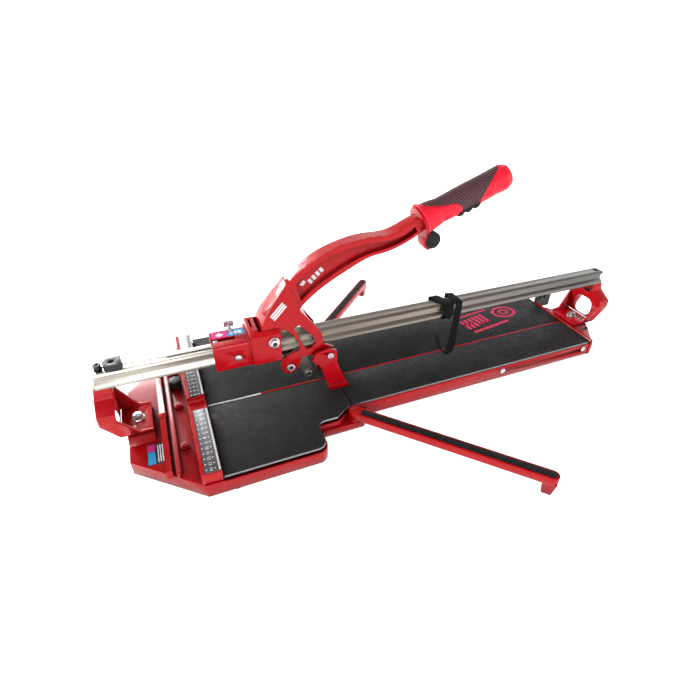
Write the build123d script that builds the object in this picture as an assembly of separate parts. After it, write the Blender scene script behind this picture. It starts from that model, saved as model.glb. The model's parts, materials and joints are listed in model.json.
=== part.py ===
from build123d import *
import math
import os

# Manual push tile cutter. Millimetres. +X runs along the rail away from the fence, +Y is the
# long wing's side, +Z is up. The origin is on the floor, under the cutting line, at mid rail.

# Overall
RAIL_LENGTH = 900.0
RAIL_END = RAIL_LENGTH / 2
BASE_BOTTOM_Z = 6.0
BOARD_TOP_Z = 36.0
MAT_THICKNESS = 2.5
PLATE_THICKNESS = 3.5
PLATE_BOTTOM_Z = BOARD_TOP_Z - MAT_THICKNESS - PLATE_THICKNESS
WALL = 4.0
SIDE_HEAD_RADIUS = 5.0
RUN_GAP = 0.3
SHAFT_GAP = 0.05

# Rail section
RAIL_BOTTOM_Z = 119.0
RAIL_TOP_Z = 142.0
RAIL_CREST_HALF = 9.0
RAIL_LIP_HALF = 13.0
RAIL_LIP_Z = 139.2
RAIL_WEB_HALF = 8.0
RAIL_GROOVE_TOP_Z = 137.0
RAIL_GROOVE_BOTTOM_Z = 127.5
RAIL_FOOT_HALF = 15.0
RAIL_FOOT_EDGE_Z = 122.5

# Base outline
NOSE_X = -430.0
NOSE_NEAR_Y = -69.0
NOSE_FAR_Y = 89.0
WING_X = -339.0
NEAR_WIDE_Y = -145.0
FAR_WIDE_Y = 199.0
WIDE_END_X = -169.0
NOTCH_END_X = -135.0
SEAM_X = -105.5
NEAR_NOTCH_Y = -94.0
FAR_NOTCH_Y = 121.0
NEAR_NARROW_Y = -77.0
FAR_NARROW_Y = 104.0
REAR_X = 391.0
BOARD_START_X = -315.0
RIM = 3.0
DECK_Z = 28.0
TRAY_WALL_Z = 26.5
TRAY_FLOOR = 4.0
CORNER_RADIUS = 14.0
RIDGE_HALF = 1.2
RIDGE_TOP_Z = 36.6
BOARD_GAP_HALF = 1.5
SPINE_HALF = 7.0
STEEL_STRIP_END_X = -232.0

# Fence and rulers
FENCE_LEFT_X = -343.0
FENCE_RIGHT_X = -316.3
FENCE_TOP_Z = 46.8
FENCE_LIP_WIDTH = 5.0
FENCE_LIP_Z = 48.6
FENCE_DIP_HALF = 15.0
FENCE_DIP_Z = 39.0
RULER_THICKNESS = 1.6
RULER_INNER_Y = 17.0
RULER_NEAR_Y = -145.0
RULER_FAR_Y = 199.0

# Posts, one casting used at both ends
POST_FOOT_INNER_X = 394.0
POST_FOOT_OUTER_X = 432.0
POST_FACE_X = 456.0
POST_CAP_INNER_X = 431.0
POST_CAP_OUTER_X = 453.0
POST_PLATE_INNER_X = 436.5
POST_FOOT_Z = 38.0
POST_FOOT_THICKNESS = 7.0
POST_HALF = 40.0
POST_GUSSET_END_X = 411.0
POST_NUT_X = 413.0
RAIL_BOLT_X = 441.0

# Folding side arms
ARM_PIVOT_X = -106.0
ARM_NEAR_PIVOT_Y = -90.0
ARM_FAR_PIVOT_Y = 117.5
ARM_NEAR_ANGLE = 47.5
ARM_FAR_ANGLE = 45.8
ARM_NEAR_LENGTH = 296.0
ARM_FAR_LENGTH = 269.5
ARM_WIDTH = 17.4
ARM_BOTTOM_Z = 22.6
ARM_TOP_Z = 35.0
ARM_PAD_WIDTH = 11.0
ARM_PAD_DEPTH = 2.5
ARM_BOSS_RADIUS = 10.8
ARM_BOSS_Z = 22.3
ARM_BOLT_RADIUS = 3.0

# Carriage
CAR_LEFT_X = -293.0
CAR_STEP_X = -240.0
CAR_RIGHT_X = -198.0
CAR_HALF = 24.0
CAR_BORE_HALF = 15.6
CAR_BOTTOM_Z = 114.0
CAR_TOP_Z = 153.0
CAR_SLOT_X = -262.0
CAR_SLOT_Y = (-7.5, 0.5)
YOKE_HALF = 28.0
YOKE_TOP_Z = 168.0
YOKE_SLOT_X = -228.0
YOKE_SLOT_HALF = 22.0
CAR_CEILING_Z = 142.3

# Lever
PIVOT_X = -208.0
PIVOT_Z = 147.3
PIVOT_RADIUS = 4.0
FORK_INNER = 16.6
FORK_OUTER = 21.2
BEAM_HALF = 12.0
BEAM_WEB_HALF = 4.0
HOLDER_BOLT_X = -185.0
HOLDER_BOLT_Z = 92.0
WHEEL_X = -152.0
WHEEL_Z = 58.0
WHEEL_RADIUS = 8.0
BREAKER_X = -123.0
BREAKER_Z = 104.0
FOOT_INNER = 24.8
FOOT_OUTER = 30.6
GRIP_START = (33.0, 290.0)
GRIP_ANGLE = 20.5
TANG_RADIUS = 9.0
BUMPER_RADIUS = 13.0

# Lower rollers under the rail
ROLLER_RADIUS = 7.5
ROLLER_HALF = 9.0
ROLLER_XS = (-228.0, -208.0)
ROLLER_Z = RAIL_BOTTOM_Z - ROLLER_RADIUS - 0.2
ROLLER_AXLE_RADIUS = 2.5

# Angle plate behind the far rear board
BRACKET_Y = 80.5
BRACKET_END_X = 432.0
BRACKET_Z = (24.0, 53.0)

# Strap wound on the rail
STRAP_THICKNESS = 1.6
STRAP_TURNS_X = ((76.0, 96.0), (104.0, 124.0))
STRAP_TAIL_BOTTOM_Z = 40.0
STRAP_TAIL_X = 119.0
STRAP_TAIL_DEPTH = 18.0
STRAP_HOOK_RADIUS = 17.0
STRAP_TIP_Z = 87.0


def rounded_wire(points, radius):
    """Closed outline with every corner rounded to one radius."""
    return FilletPolyline(*points, radius=radius, close=True)


def plate_xy(points, low, high, radius=0.0):
    """Flat plate whose outline lies in plan."""
    corners = [(x, y, low) for x, y in points]
    wire = rounded_wire(corners, radius) if radius else Polyline(*corners, close=True)
    return extrude(make_face(wire), amount=high - low, dir=(0, 0, 1))


def slab_xz(points, low, high, radius=0.0):
    """Slab whose outline is seen from the side, between two Y planes."""
    corners = [(x, low, z) for x, z in points]
    wire = rounded_wire(corners, radius) if radius else Polyline(*corners, close=True)
    return extrude(make_face(wire), amount=high - low, dir=(0, 1, 0))


def slab_yz(points, low, high, radius=0.0):
    """Slab whose outline is seen along the rail, between two X planes."""
    corners = [(low, y, z) for y, z in points]
    wire = rounded_wire(corners, radius) if radius else Polyline(*corners, close=True)
    return extrude(make_face(wire), amount=high - low, dir=(1, 0, 0))


def block(x0, x1, y0, y1, z0, z1):
    """Box between two corners."""
    centre = Pos((x0 + x1) / 2, (y0 + y1) / 2, (z0 + z1) / 2)
    return centre * Box(x1 - x0, y1 - y0, z1 - z0)


def rod_z(x, y, z0, z1, radius):
    """Upright cylinder."""
    return Pos(x, y, (z0 + z1) / 2) * Cylinder(radius, z1 - z0)


def rod_y(x, z, y0, y1, radius):
    """Cylinder across the rail."""
    return Pos(x, (y0 + y1) / 2, z) * Rot(90, 0, 0) * Cylinder(radius, y1 - y0)


def rod_x(y, z, x0, x1, radius):
    """Cylinder along the rail."""
    return Pos((x0 + x1) / 2, y, z) * Rot(0, 90, 0) * Cylinder(radius, x1 - x0)


def hexagon_z(x, y, z0, z1, flats):
    """Hexagonal head or nut on an upright axis."""
    return Pos(x, y, z0) * extrude(RegularPolygon(flats / math.sqrt(3), 6), z1 - z0)


def hexagon_y(x, z, y0, y1, flats):
    """Hexagonal head or nut on an axis across the rail."""
    head = extrude(RegularPolygon(flats / math.sqrt(3), 6), y1 - y0)
    return Pos(x, y1, z) * Rot(90, 0, 0) * head


def both_sides(solid):
    """The solid and its mirror image across the cutting line."""
    return solid + solid.mirror(Plane.XZ)


def group(solids):
    """Separate solids kept together in one node."""
    return Compound(children=list(solids))


def board_outline(narrow, notch, wide):
    """Plan of one front board, from the cutting line out to the wing, with its notch."""
    inner = math.copysign(BOARD_GAP_HALF, wide)
    return [
        (BOARD_START_X, inner),
        (SEAM_X - BOARD_GAP_HALF, inner),
        (SEAM_X - BOARD_GAP_HALF, narrow),
        (NOTCH_END_X + 25.0, narrow),
        (NOTCH_END_X, notch),
        (WIDE_END_X, notch),
        (WIDE_END_X, wide),
        (BOARD_START_X, wide),
    ]


def soften_board(board, wide, notch):
    """Rounds the wing corner and the inside corner of the notch."""
    corners = [
        edge
        for edge in board.edges().filter_by(Axis.Z)
        if abs(edge.center().X - WIDE_END_X) < 1
        and min(abs(edge.center().Y - wide), abs(edge.center().Y - notch)) < 1
    ]
    return fillet(corners, CORNER_RADIUS)


def front_board(narrow, notch, wide, low, high):
    """One layer of a front board."""
    board = plate_xy(board_outline(narrow, notch, wide), low, high)
    return soften_board(board, wide, notch)


def side_wall_points(narrow, notch, wide, rim):
    """Outer edge of the front casting on one side, fence to seam."""
    out = math.copysign(rim, wide)
    return [
        (WING_X, wide + out),
        (WIDE_END_X + rim, wide + out),
        (WIDE_END_X + rim, notch + out),
        (NOTCH_END_X + rim / 2, notch + out),
        (NOTCH_END_X + 25.0 + rim / 2, narrow + out),
        (SEAM_X, narrow + out),
    ]


def casting_outline(rim):
    """Plan of the whole front casting, grown or shrunk by rim."""
    near = side_wall_points(NEAR_NARROW_Y, NEAR_NOTCH_Y, NEAR_WIDE_Y, rim)
    far = side_wall_points(FAR_NARROW_Y, FAR_NOTCH_Y, FAR_WIDE_Y, rim)
    shift = RIM - rim
    return (
        [(NOSE_X + shift, NOSE_NEAR_Y + shift)]
        + near
        + list(reversed(far))
        + [(NOSE_X + shift, NOSE_FAR_Y - shift)]
    )


def arm_lug(side, pivot_y, narrow):
    """Ledge that carries a side arm's boss, with its slanted rear end."""
    inner = narrow - side * 8.0
    outer = pivot_y + side * 12.0
    channel_side = narrow + side * (RIM - 0.8)
    ledge = [
        (-162.0, inner),
        (-162.0, outer),
        (-94.0, outer),
        (-80.0, pivot_y - side * 4.0),
        (-80.0, channel_side),
        (SEAM_X, channel_side),
        (SEAM_X, inner),
    ]
    return plate_xy(ledge, BASE_BOTTOM_Z, 18.0)


def front_casting():
    """Wide die casting under the fence and the two sprung boards."""
    body = plate_xy(casting_outline(RIM), BASE_BOTTOM_Z, TRAY_WALL_Z)
    body = fillet(wing_corners(body), CORNER_RADIUS + RIM)
    inner = plate_xy(casting_outline(RIM - WALL), BASE_BOTTOM_Z + TRAY_FLOOR, TRAY_WALL_Z + 1)
    inner = fillet(inner_wing_corners(inner), CORNER_RADIUS)
    tray = block(FENCE_RIGHT_X + 1, SEAM_X + 1, -300, 300, 0, TRAY_WALL_Z + 1)
    body = body - (inner & tray)
    deck = plate_xy(casting_outline(RIM), TRAY_WALL_Z, DECK_Z)
    body = body + (deck & block(NOSE_X - 5, FENCE_RIGHT_X + 1, -300, 300, 0, DECK_Z + 1))
    hollow = plate_xy(casting_outline(RIM - WALL), BASE_BOTTOM_Z - 1, DECK_Z - WALL)
    nose = block(NOSE_X - 5, FENCE_LEFT_X, -300, 300, 0, DECK_Z + 1)
    body = body - (hollow & nose)
    body = body + block(FENCE_RIGHT_X, SEAM_X, -SPINE_HALF, SPINE_HALF, BASE_BOTTOM_Z, PLATE_BOTTOM_Z - 3.3)
    ridge_start = STEEL_STRIP_END_X
    body = body + block(ridge_start, SEAM_X, -RIDGE_HALF, RIDGE_HALF, BASE_BOTTOM_Z, RIDGE_TOP_Z)
    body = body + pedestal(NOSE_X, -POST_FOOT_INNER_X)
    body = body + deck_ribs() + deck_bosses()
    for side, pivot_y, narrow in arm_sides():
        body = body + arm_lug(side, pivot_y, narrow)
        body = body + rod_z(ARM_PIVOT_X, pivot_y, BASE_BOTTOM_Z, ARM_BOSS_Z, ARM_BOSS_RADIUS)
        body = body - rod_z(ARM_PIVOT_X, pivot_y, 0, ARM_BOSS_Z + 1, ARM_BOLT_RADIUS)
    body = body - rod_z(-POST_NUT_X, 0, 0, POST_FOOT_Z + 1, 4.0)
    for x, y in fence_screw_places():
        body = body - rod_z(x, y, 18.0, 40.0, 2.0)
    return body


def wing_corners(body):
    """Upright edges at the rear corners of both wings."""
    end = WIDE_END_X + RIM
    sides = (NEAR_WIDE_Y - RIM, FAR_WIDE_Y + RIM)
    upright = [edge for edge in body.edges().filter_by(Axis.Z) if abs(edge.center().X - end) < 1]
    return [edge for edge in upright if min(abs(edge.center().Y - y) for y in sides) < 1]


def inner_wing_corners(hollow):
    """The same corners inside the wall."""
    end = WIDE_END_X + RIM - WALL
    upright = [edge for edge in hollow.edges().filter_by(Axis.Z) if abs(edge.center().X - end) < 1]
    outside = (NEAR_NOTCH_Y - 20, FAR_NOTCH_Y + 20)
    return [edge for edge in upright if not outside[0] < edge.center().Y < outside[1]]


def pedestal(x0, x1):
    """Raised seat for a post, with sloping banks."""
    seat = [(-41.0, DECK_Z - 2), (-26.0, POST_FOOT_Z), (26.0, POST_FOOT_Z), (41.0, DECK_Z - 2)]
    return slab_yz(seat, min(x0, x1), max(x0, x1))


def deck_ribs():
    """Two long ribs that stiffen the deck in front of the fence."""
    first = block(-385.0, -377.0, -116.0, 150.0, DECK_Z - 2, 40.0)
    second = block(-372.5, -366.5, -118.0, 148.0, DECK_Z - 2, 36.0)
    ends = rod_z(-369.5, -118.0, DECK_Z - 2, 36.0, 3.0)
    knuckle = rod_x(0, 38.0, -386.5, -375.5, 5.0)
    return first + second + ends + knuckle


def fence_screw_places():
    """Centres of the three ring bosses."""
    return [(-357.0, y) for y in (-68.0, 23.0, 114.0)]


def deck_bosses():
    """Ring bosses for the fence screws."""
    rings = [rod_z(x, y, DECK_Z - 2, DECK_Z + 4, 6.5) for x, y in fence_screw_places()]
    solid = rings[0]
    for ring in rings[1:]:
        solid = solid + ring
    return solid


def fence_screws():
    """Button head screws in the ring bosses."""
    screws = []
    for x, y in fence_screw_places():
        head = rod_z(x, y, DECK_Z + 4, DECK_Z + 6.5, 4.0) - hexagon_z(x, y, DECK_Z + 5, DECK_Z + 7, 2.5)
        screws.append(head + rod_z(x, y, 19.0, DECK_Z + 4, 2.0))
    return group(screws)


def arm_sides():
    """Side, pivot and board edge at the near and far arms."""
    return (
        (-1.0, ARM_NEAR_PIVOT_Y, NEAR_NARROW_Y),
        (1.0, ARM_FAR_PIVOT_Y, FAR_NARROW_Y),
    )


def rear_channel():
    """Long inverted channel under the two fixed rear boards."""
    near = NEAR_NARROW_Y - RIM + 1
    far = FAR_NARROW_Y + RIM - 1
    body = block(SEAM_X, REAR_X, near, far, BASE_BOTTOM_Z, PLATE_BOTTOM_Z)
    body = body - block(SEAM_X + 6, REAR_X - 6, near + WALL, far - WALL, 0, PLATE_BOTTOM_Z - WALL)
    body = body + block(SEAM_X, REAR_X, -RIDGE_HALF, RIDGE_HALF, PLATE_BOTTOM_Z - WALL, RIDGE_TOP_Z)
    body = body + block(SEAM_X + 6, REAR_X - 6, -SPINE_HALF, SPINE_HALF, BASE_BOTTOM_Z, PLATE_BOTTOM_Z - WALL)
    for x in (-24.0, 56.0, 136.0, 216.0, 296.0):
        body = body + block(x, x + WALL, near, far, BASE_BOTTOM_Z, PLATE_BOTTOM_Z - 1)
    for x in side_screw_xs():
        body = body - rod_y(x, 22.0, near - 1, near + WALL + 1, 1.75)
        body = body - rod_y(x, 22.0, far - WALL - 1, far + 1, 1.75)
    return body


def side_screw_xs():
    """Places of the screws along the channel's walls."""
    return (187.0, 376.0)


def side_screws():
    """Pan head screws in the channel's side walls."""
    near = NEAR_NARROW_Y - RIM + 1
    far = FAR_NARROW_Y + RIM - 1
    screws = []
    for x in side_screw_xs():
        head = rod_y(x, 22.0, near - 1.8, near, SIDE_HEAD_RADIUS)
        screws.append(head + rod_y(x, 22.0, near, near + WALL, 1.75))
    x = side_screw_xs()[0]
    screws.append(rod_y(x, 22.0, far, far + 1.8, SIDE_HEAD_RADIUS) + rod_y(x, 22.0, far - WALL, far, 1.75))
    return group(screws)


def rear_casting():
    """End plate behind the rear boards with the rear post's seat."""
    near = NEAR_NARROW_Y - RIM
    far = -near
    plan = [
        (REAR_X, near),
        (REAR_X + 7, near),
        (POST_FOOT_OUTER_X, -32.0),
        (POST_FOOT_OUTER_X, 32.0),
        (REAR_X + 7, far),
        (REAR_X, far),
    ]
    body = plate_xy(plan, BASE_BOTTOM_Z, 30.0)
    body = body + block(REAR_X, REAR_X + 5, near, far, 28.0, 37.5)
    body = body - plate_xy(
        [(REAR_X + 9, -66.0), (426.0, -27.0), (426.0, 27.0), (REAR_X + 9, 66.0)], 0, 24.0
    )
    body = body + pedestal(POST_FOOT_INNER_X, -NOSE_X)
    return body - rod_z(POST_NUT_X, 0, 0, POST_FOOT_Z + 1, 4.0)


def post_side(x_sign):
    """Side view of a post: cap, leaning outer face, foot and gusset edge."""
    points = [
        (POST_CAP_OUTER_X, RAIL_BOTTOM_Z),
        (POST_CAP_INNER_X, RAIL_BOTTOM_Z),
        (POST_CAP_INNER_X, 102.0),
        (POST_PLATE_INNER_X - 2, 79.0),
        (POST_GUSSET_END_X, POST_FOOT_Z + POST_FOOT_THICKNESS + 2),
        (POST_FOOT_INNER_X, POST_FOOT_Z + POST_FOOT_THICKNESS + 1),
        (POST_FOOT_INNER_X, POST_FOOT_Z),
        (POST_FOOT_OUTER_X, POST_FOOT_Z),
        (POST_FACE_X, 76.0),
        (POST_FACE_X, 104.0),
    ]
    return [(x_sign * x, z) for x, z in points]


def post_front():
    """View of a post along the rail: narrow cap, wide shoulders, narrow foot."""
    half = [(15.0, RAIL_BOTTOM_Z), (14.5, 112.0), (17.0, 105.0), (POST_HALF, 92.0), (POST_HALF, 80.0)]
    half = half + [(34.5, 46.0), (25.0, POST_FOOT_Z)]
    return half + [(-y, z) for y, z in reversed(half)]


def post(x_sign):
    """Cast post with a round-cornered window, two gussets and a bolted foot."""
    body = slab_xz(post_side(x_sign), -POST_HALF, POST_HALF)
    reach = sorted((x_sign * (POST_FOOT_INNER_X - 5), x_sign * (POST_FACE_X + 5)))
    body = body & slab_yz(post_front(), *reach)
    pocket = sorted((x_sign * (POST_FOOT_INNER_X - 5), x_sign * POST_PLATE_INNER_X))
    floor = POST_FOOT_Z + POST_FOOT_THICKNESS
    bay = [(-29.0, floor), (-35.0, 79.0), (-35.0, 90.0), (-9.0, 108.0)]
    bay = bay + [(-y, z) for y, z in reversed(bay)]
    body = body - slab_yz(bay, *pocket)
    window = Rot(0, 90, 0) * extrude(RectangleRounded(36, 42, 14), amount=30, both=True)
    body = body - Pos(x_sign * 450.0, 0, 66.0) * window
    nut_pocket = sorted((x_sign * 420.0, x_sign * (RAIL_BOLT_X + 6.5)))
    body = body - block(*nut_pocket, -6.5, 6.5, 97.0, 106.0)
    body = body - rod_z(x_sign * RAIL_BOLT_X, 0, 97.0, 120.0, 3.0)
    return body - rod_z(x_sign * POST_NUT_X, 0, 30.0, 60.0, 4.0)


def post_bolts():
    """Stud and flange nut holding each post down."""
    studs = []
    for x in (-POST_NUT_X, POST_NUT_X):
        floor = POST_FOOT_Z + POST_FOOT_THICKNESS
        washer = rod_z(x, 0, floor, floor + 1.2, 9.0)
        nut = hexagon_z(x, 0, floor + 1.2, floor + 7.0, 13.0)
        stud = rod_z(x, 0, 16.0, floor + 8.5, 4.0)
        studs.append(washer + nut + stud)
    return group(studs)


def rail_section():
    """Half section of the rail, lip above, foot below."""
    half = [
        (RAIL_CREST_HALF, RAIL_TOP_Z),
        (RAIL_LIP_HALF, RAIL_LIP_Z),
        (RAIL_WEB_HALF, RAIL_GROOVE_TOP_Z),
        (RAIL_WEB_HALF, RAIL_GROOVE_BOTTOM_Z),
        (RAIL_LIP_HALF, RAIL_GROOVE_BOTTOM_Z - 2.5),
        (RAIL_FOOT_HALF, RAIL_FOOT_EDGE_Z),
        (RAIL_FOOT_HALF, RAIL_BOTTOM_Z),
    ]
    return half + [(-y, z) for y, z in reversed(half)]


def rail():
    """Steel guide rail with end bolt holes and a long groove in its crest."""
    body = slab_yz(rail_section(), -RAIL_END, RAIL_END)
    for x in (-RAIL_BOLT_X, RAIL_BOLT_X):
        body = body - rod_z(x, 0, 100.0, 160.0, 3.0)
    body = body - rod_z(RAIL_BOLT_X, 0, RAIL_TOP_Z - 4, RAIL_TOP_Z + 1, 5.5)
    return body - block(-354.0, -170.0, -4.2, -1.2, RAIL_TOP_Z - 1.5, RAIL_TOP_Z + 1)


def rail_bolts():
    """Bolt and nut that hold the rail's rear end; a bolt and nut at the front."""
    rear = rod_z(RAIL_BOLT_X, 0, RAIL_TOP_Z - 4, RAIL_TOP_Z - 0.5, 5.2)
    rear = rear - hexagon_z(RAIL_BOLT_X, 0, RAIL_TOP_Z - 2.8, RAIL_TOP_Z, 5.0)
    rear = rear + rod_z(RAIL_BOLT_X, 0, 99.0, RAIL_TOP_Z - 4, 3.0)
    rear = rear + hexagon_z(RAIL_BOLT_X, 0, 100.0, 105.0, 10.0)
    front = rod_z(-RAIL_BOLT_X, 0, RAIL_TOP_Z, RAIL_TOP_Z + 8.5, 5.0)
    front = front - hexagon_z(-RAIL_BOLT_X, 0, RAIL_TOP_Z + 3.5, RAIL_TOP_Z + 9, 5.0)
    front = front + rod_z(-RAIL_BOLT_X, 0, 99.0, RAIL_TOP_Z, 3.0)
    front = front + hexagon_z(-RAIL_BOLT_X, 0, 100.0, 105.0, 10.0)
    return group([rear, front])


def stop_block():
    """Black stop at the fence end of the rail, rounded towards the bolt."""
    plan = plate_xy([(-434.0, -11.0), (-412.0, -11.0), (-412.0, 11.0), (-434.0, 11.0)], RAIL_TOP_Z, 151.0)
    left = [edge for edge in plan.edges().filter_by(Axis.Z) if edge.center().X < -430]
    return fillet(left, 9.0) - rod_z(-423.0, 0, 144.0, 152.0, 4.0)


def fence_bar():
    """Cast fence across both wings, with a lip in front and a dip for the wheel."""
    near = NEAR_WIDE_Y - 1
    far = FAR_WIDE_Y + 2
    body = block(FENCE_LEFT_X, FENCE_RIGHT_X, near, far, DECK_Z, FENCE_TOP_Z)
    body = body + block(FENCE_LEFT_X, FENCE_LEFT_X + FENCE_LIP_WIDTH, near, far, DECK_Z, FENCE_LIP_Z)
    dip = [(-FENCE_DIP_HALF, FENCE_DIP_Z), (FENCE_DIP_HALF - 3, FENCE_DIP_Z)]
    dip = dip + [(FENCE_DIP_HALF - 1, 43.0), (FENCE_DIP_HALF + 1, 60.0), (-FENCE_DIP_HALF, 60.0)]
    return body - slab_yz(dip, FENCE_LEFT_X - 1, FENCE_RIGHT_X + 1)


def ruler(y0, y1):
    """Steel rule lying on the fence."""
    left = FENCE_LEFT_X + FENCE_LIP_WIDTH + RUN_GAP
    return block(left, FENCE_RIGHT_X - 0.4, y0, y1, FENCE_TOP_Z, FENCE_TOP_Z + RULER_THICKNESS)


def steel_strip():
    """Hardened breaking strip let into the ridge by the fence."""
    return block(BOARD_START_X, STEEL_STRIP_END_X, -RIDGE_HALF, RIDGE_HALF, PLATE_BOTTOM_Z - 3.3, RIDGE_TOP_Z)


def rear_board(edge, low, high):
    """One layer of a fixed rear board."""
    inner = math.copysign(BOARD_GAP_HALF, edge)
    y0, y1 = sorted((inner, edge))
    return block(SEAM_X + BOARD_GAP_HALF, REAR_X - 0.5, y0, y1, low, high)


def rubber_feet():
    """Feet under both castings and the middle of the channel."""
    places = [(-420.0, -50.0), (-420.0, 60.0), (-300.0, -135.0), (-300.0, 180.0), (-185.0, -125.0)]
    places = places + [(-185.0, 160.0), (0.0, 0.0), (415.0, -30.0), (415.0, 30.0)]
    feet = [rod_z(x, y, 0.0, BASE_BOTTOM_Z, 9.0) for x, y in places[:7]]
    rear = [rod_z(x, y, 0.0, BASE_BOTTOM_Z, 5.5) for x, y in ((402.0, -60.0), (402.0, 72.0))]
    return group(feet + rear)


def board_springs():
    """Coil springs under the front boards, kept as plain sleeves."""
    springs = []
    for x in (-285.0, -195.0):
        for y in (-125.0, -40.0, 40.0, 165.0):
            tube = rod_z(x, y, BASE_BOTTOM_Z + TRAY_FLOOR, PLATE_BOTTOM_Z, 6.0)
            springs.append(tube - rod_z(x, y, 0, 40.0, 4.6))
    return group(springs)


def near_arm_place():
    """Location that puts an arm drawn along +X at its place on the near side, opened."""
    return Pos(ARM_PIVOT_X, ARM_NEAR_PIVOT_Y, 0) * Rot(0, 0, -ARM_NEAR_ANGLE)


def far_arm_place():
    """The same for the far side."""
    return Pos(ARM_PIVOT_X, ARM_FAR_PIVOT_Y, 0) * Rot(0, 0, ARM_FAR_ANGLE)


def arm(length):
    """Folding side arm with a channel for its pad and a tapered foot."""
    half = ARM_WIDTH / 2
    body = block(0, length, -half, half, ARM_BOTTOM_Z, ARM_TOP_Z)
    body = body + rod_z(0, 0, ARM_BOTTOM_Z, ARM_TOP_Z, half)
    body = body + rod_z(length, 0, ARM_BOTTOM_Z, ARM_TOP_Z, half)
    pad_half = ARM_PAD_WIDTH / 2
    pad_floor = ARM_TOP_Z - ARM_PAD_DEPTH
    body = body - block(13, length, -pad_half, pad_half, pad_floor, ARM_TOP_Z + 1)
    body = body - rod_z(length, 0, pad_floor, ARM_TOP_Z + 1, pad_half)
    wide = Pos(length - 2, 0, ARM_BOTTOM_Z + 2) * Rectangle(20, 16)
    slim = Pos(length - 2, 0, 0) * Rectangle(13, 10)
    body = body + loft([slim, wide])
    body = body - rod_z(0, 0, 0, 60.0, ARM_BOLT_RADIUS + SHAFT_GAP)
    body = body - rod_z(0, 0, ARM_TOP_Z - 3.0, 60.0, 6.0)
    return body


def arm_pad(length):
    """Rubber strip let into the top of an arm."""
    pad_half = ARM_PAD_WIDTH / 2
    pad_floor = ARM_TOP_Z - ARM_PAD_DEPTH
    body = block(13, length, -pad_half, pad_half, pad_floor, BOARD_TOP_Z)
    body = body + rod_z(length, 0, pad_floor, BOARD_TOP_Z, pad_half)
    return body


def arm_bolts():
    """Shoulder bolts that the arms swing on."""
    bolts = []
    for _, pivot_y, _ in arm_sides():
        shank = rod_z(ARM_PIVOT_X, pivot_y, 8.0, ARM_TOP_Z - 2.7, ARM_BOLT_RADIUS)
        head = rod_z(ARM_PIVOT_X, pivot_y, ARM_TOP_Z - 2.7, ARM_TOP_Z - 0.2, 5.7)
        bolts.append(shank + head)
    return group(bolts)


def carriage_housing():
    """Casting that saddles the rail, with a yoke and cheeks for the lever."""
    body = block(CAR_LEFT_X, CAR_STEP_X, -CAR_HALF, CAR_HALF, CAR_BOTTOM_Z, CAR_TOP_Z)
    top = [edge for edge in body.edges().filter_by(Axis.X) if edge.center().Z > CAR_TOP_Z - 1]
    body = fillet(top, 4.0)
    yoke = [(-YOKE_HALF, CAR_BOTTOM_Z), (-YOKE_HALF, YOKE_TOP_Z - 8), (-20.0, YOKE_TOP_Z)]
    yoke = yoke + [(-y, z) for y, z in reversed(yoke)]
    body = body + slab_yz(yoke, CAR_STEP_X, CAR_RIGHT_X)
    collar = (-CAR_HALF - 1, CAR_HALF + 1, CAR_BOTTOM_Z + 6, CAR_TOP_Z + 2.5)
    body = body + block(CAR_STEP_X - 3, CAR_STEP_X, *collar)
    body = body - block(
        YOKE_SLOT_X, CAR_RIGHT_X + 5, -YOKE_SLOT_HALF, YOKE_SLOT_HALF, CAR_BOTTOM_Z - 1, YOKE_TOP_Z + 1
    )
    above = [(-224.0, 190.0), (-190.0, 190.0), (-190.0, 160.0)]
    slope = [(-198.5, 165.0), (-206.0, 171.0), (-224.0, 171.0)]
    body = body - slab_xz(above + slope, -40.0, 40.0)
    bore = [(CAR_BORE_HALF, CAR_BOTTOM_Z - 1), (CAR_BORE_HALF, CAR_CEILING_Z)]
    bore = bore + [(-y, z) for y, z in reversed(bore)]
    body = body - slab_yz(bore, CAR_LEFT_X - 1, CAR_RIGHT_X + 1)
    body = body - block(CAR_LEFT_X - 1, CAR_SLOT_X, *CAR_SLOT_Y, 140.0, 160.0)
    body = body - rod_z(CAR_SLOT_X, sum(CAR_SLOT_Y) / 2, 140.0, 160.0, 4.0)
    body = body - block(-236.0, -233.0, -9.0, 14.0, YOKE_TOP_Z - 12, YOKE_TOP_Z + 1)
    body = body - rod_y(PIVOT_X, PIVOT_Z, -40.0, 40.0, PIVOT_RADIUS)
    for x in pad_xs():
        body = body - rod_y(x, pad_z(), -40.0, 40.0, 2.5)
    return body - rod_z(-263.0, 17.0, 140.0, 160.0, 2.5)


def pad_xs():
    """Places of the slide pads along the housing."""
    return (-261.0,)


def pad_z():
    """Height of the slide pads, in the middle of the rail's groove."""
    return (RAIL_GROOVE_TOP_Z + RAIL_GROOVE_BOTTOM_Z) / 2


def slide_pads():
    """Nylon pads that run in the rail's two grooves."""
    pads = []
    for x in pad_xs():
        for side in (-1, 1):
            y0, y1 = sorted((side * (RAIL_WEB_HALF + RUN_GAP), side * CAR_BORE_HALF))
            pads.append(rod_y(x, pad_z(), y0, y1, (RAIL_GROOVE_TOP_Z - RAIL_GROOVE_BOTTOM_Z) / 2 - RUN_GAP))
    pads = [pad - block(-400, 0, -20, 20, 100, RAIL_GROOVE_BOTTOM_Z) for pad in pads]
    return group(pads)


def pad_screws():
    """Hexagon screws that set the slide pads against the rail."""
    screws = []
    for x in pad_xs():
        for side in (-1, 1):
            y0, y1 = sorted((side * CAR_BORE_HALF, side * CAR_HALF))
            shank = rod_y(x, pad_z(), y0, y1, 2.5)
            y0, y1 = sorted((side * CAR_HALF, side * (CAR_HALF + 3.5)))
            screws.append(shank + hexagon_y(x, pad_z(), y0, y1, 9.0))
    return group(screws)


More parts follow.
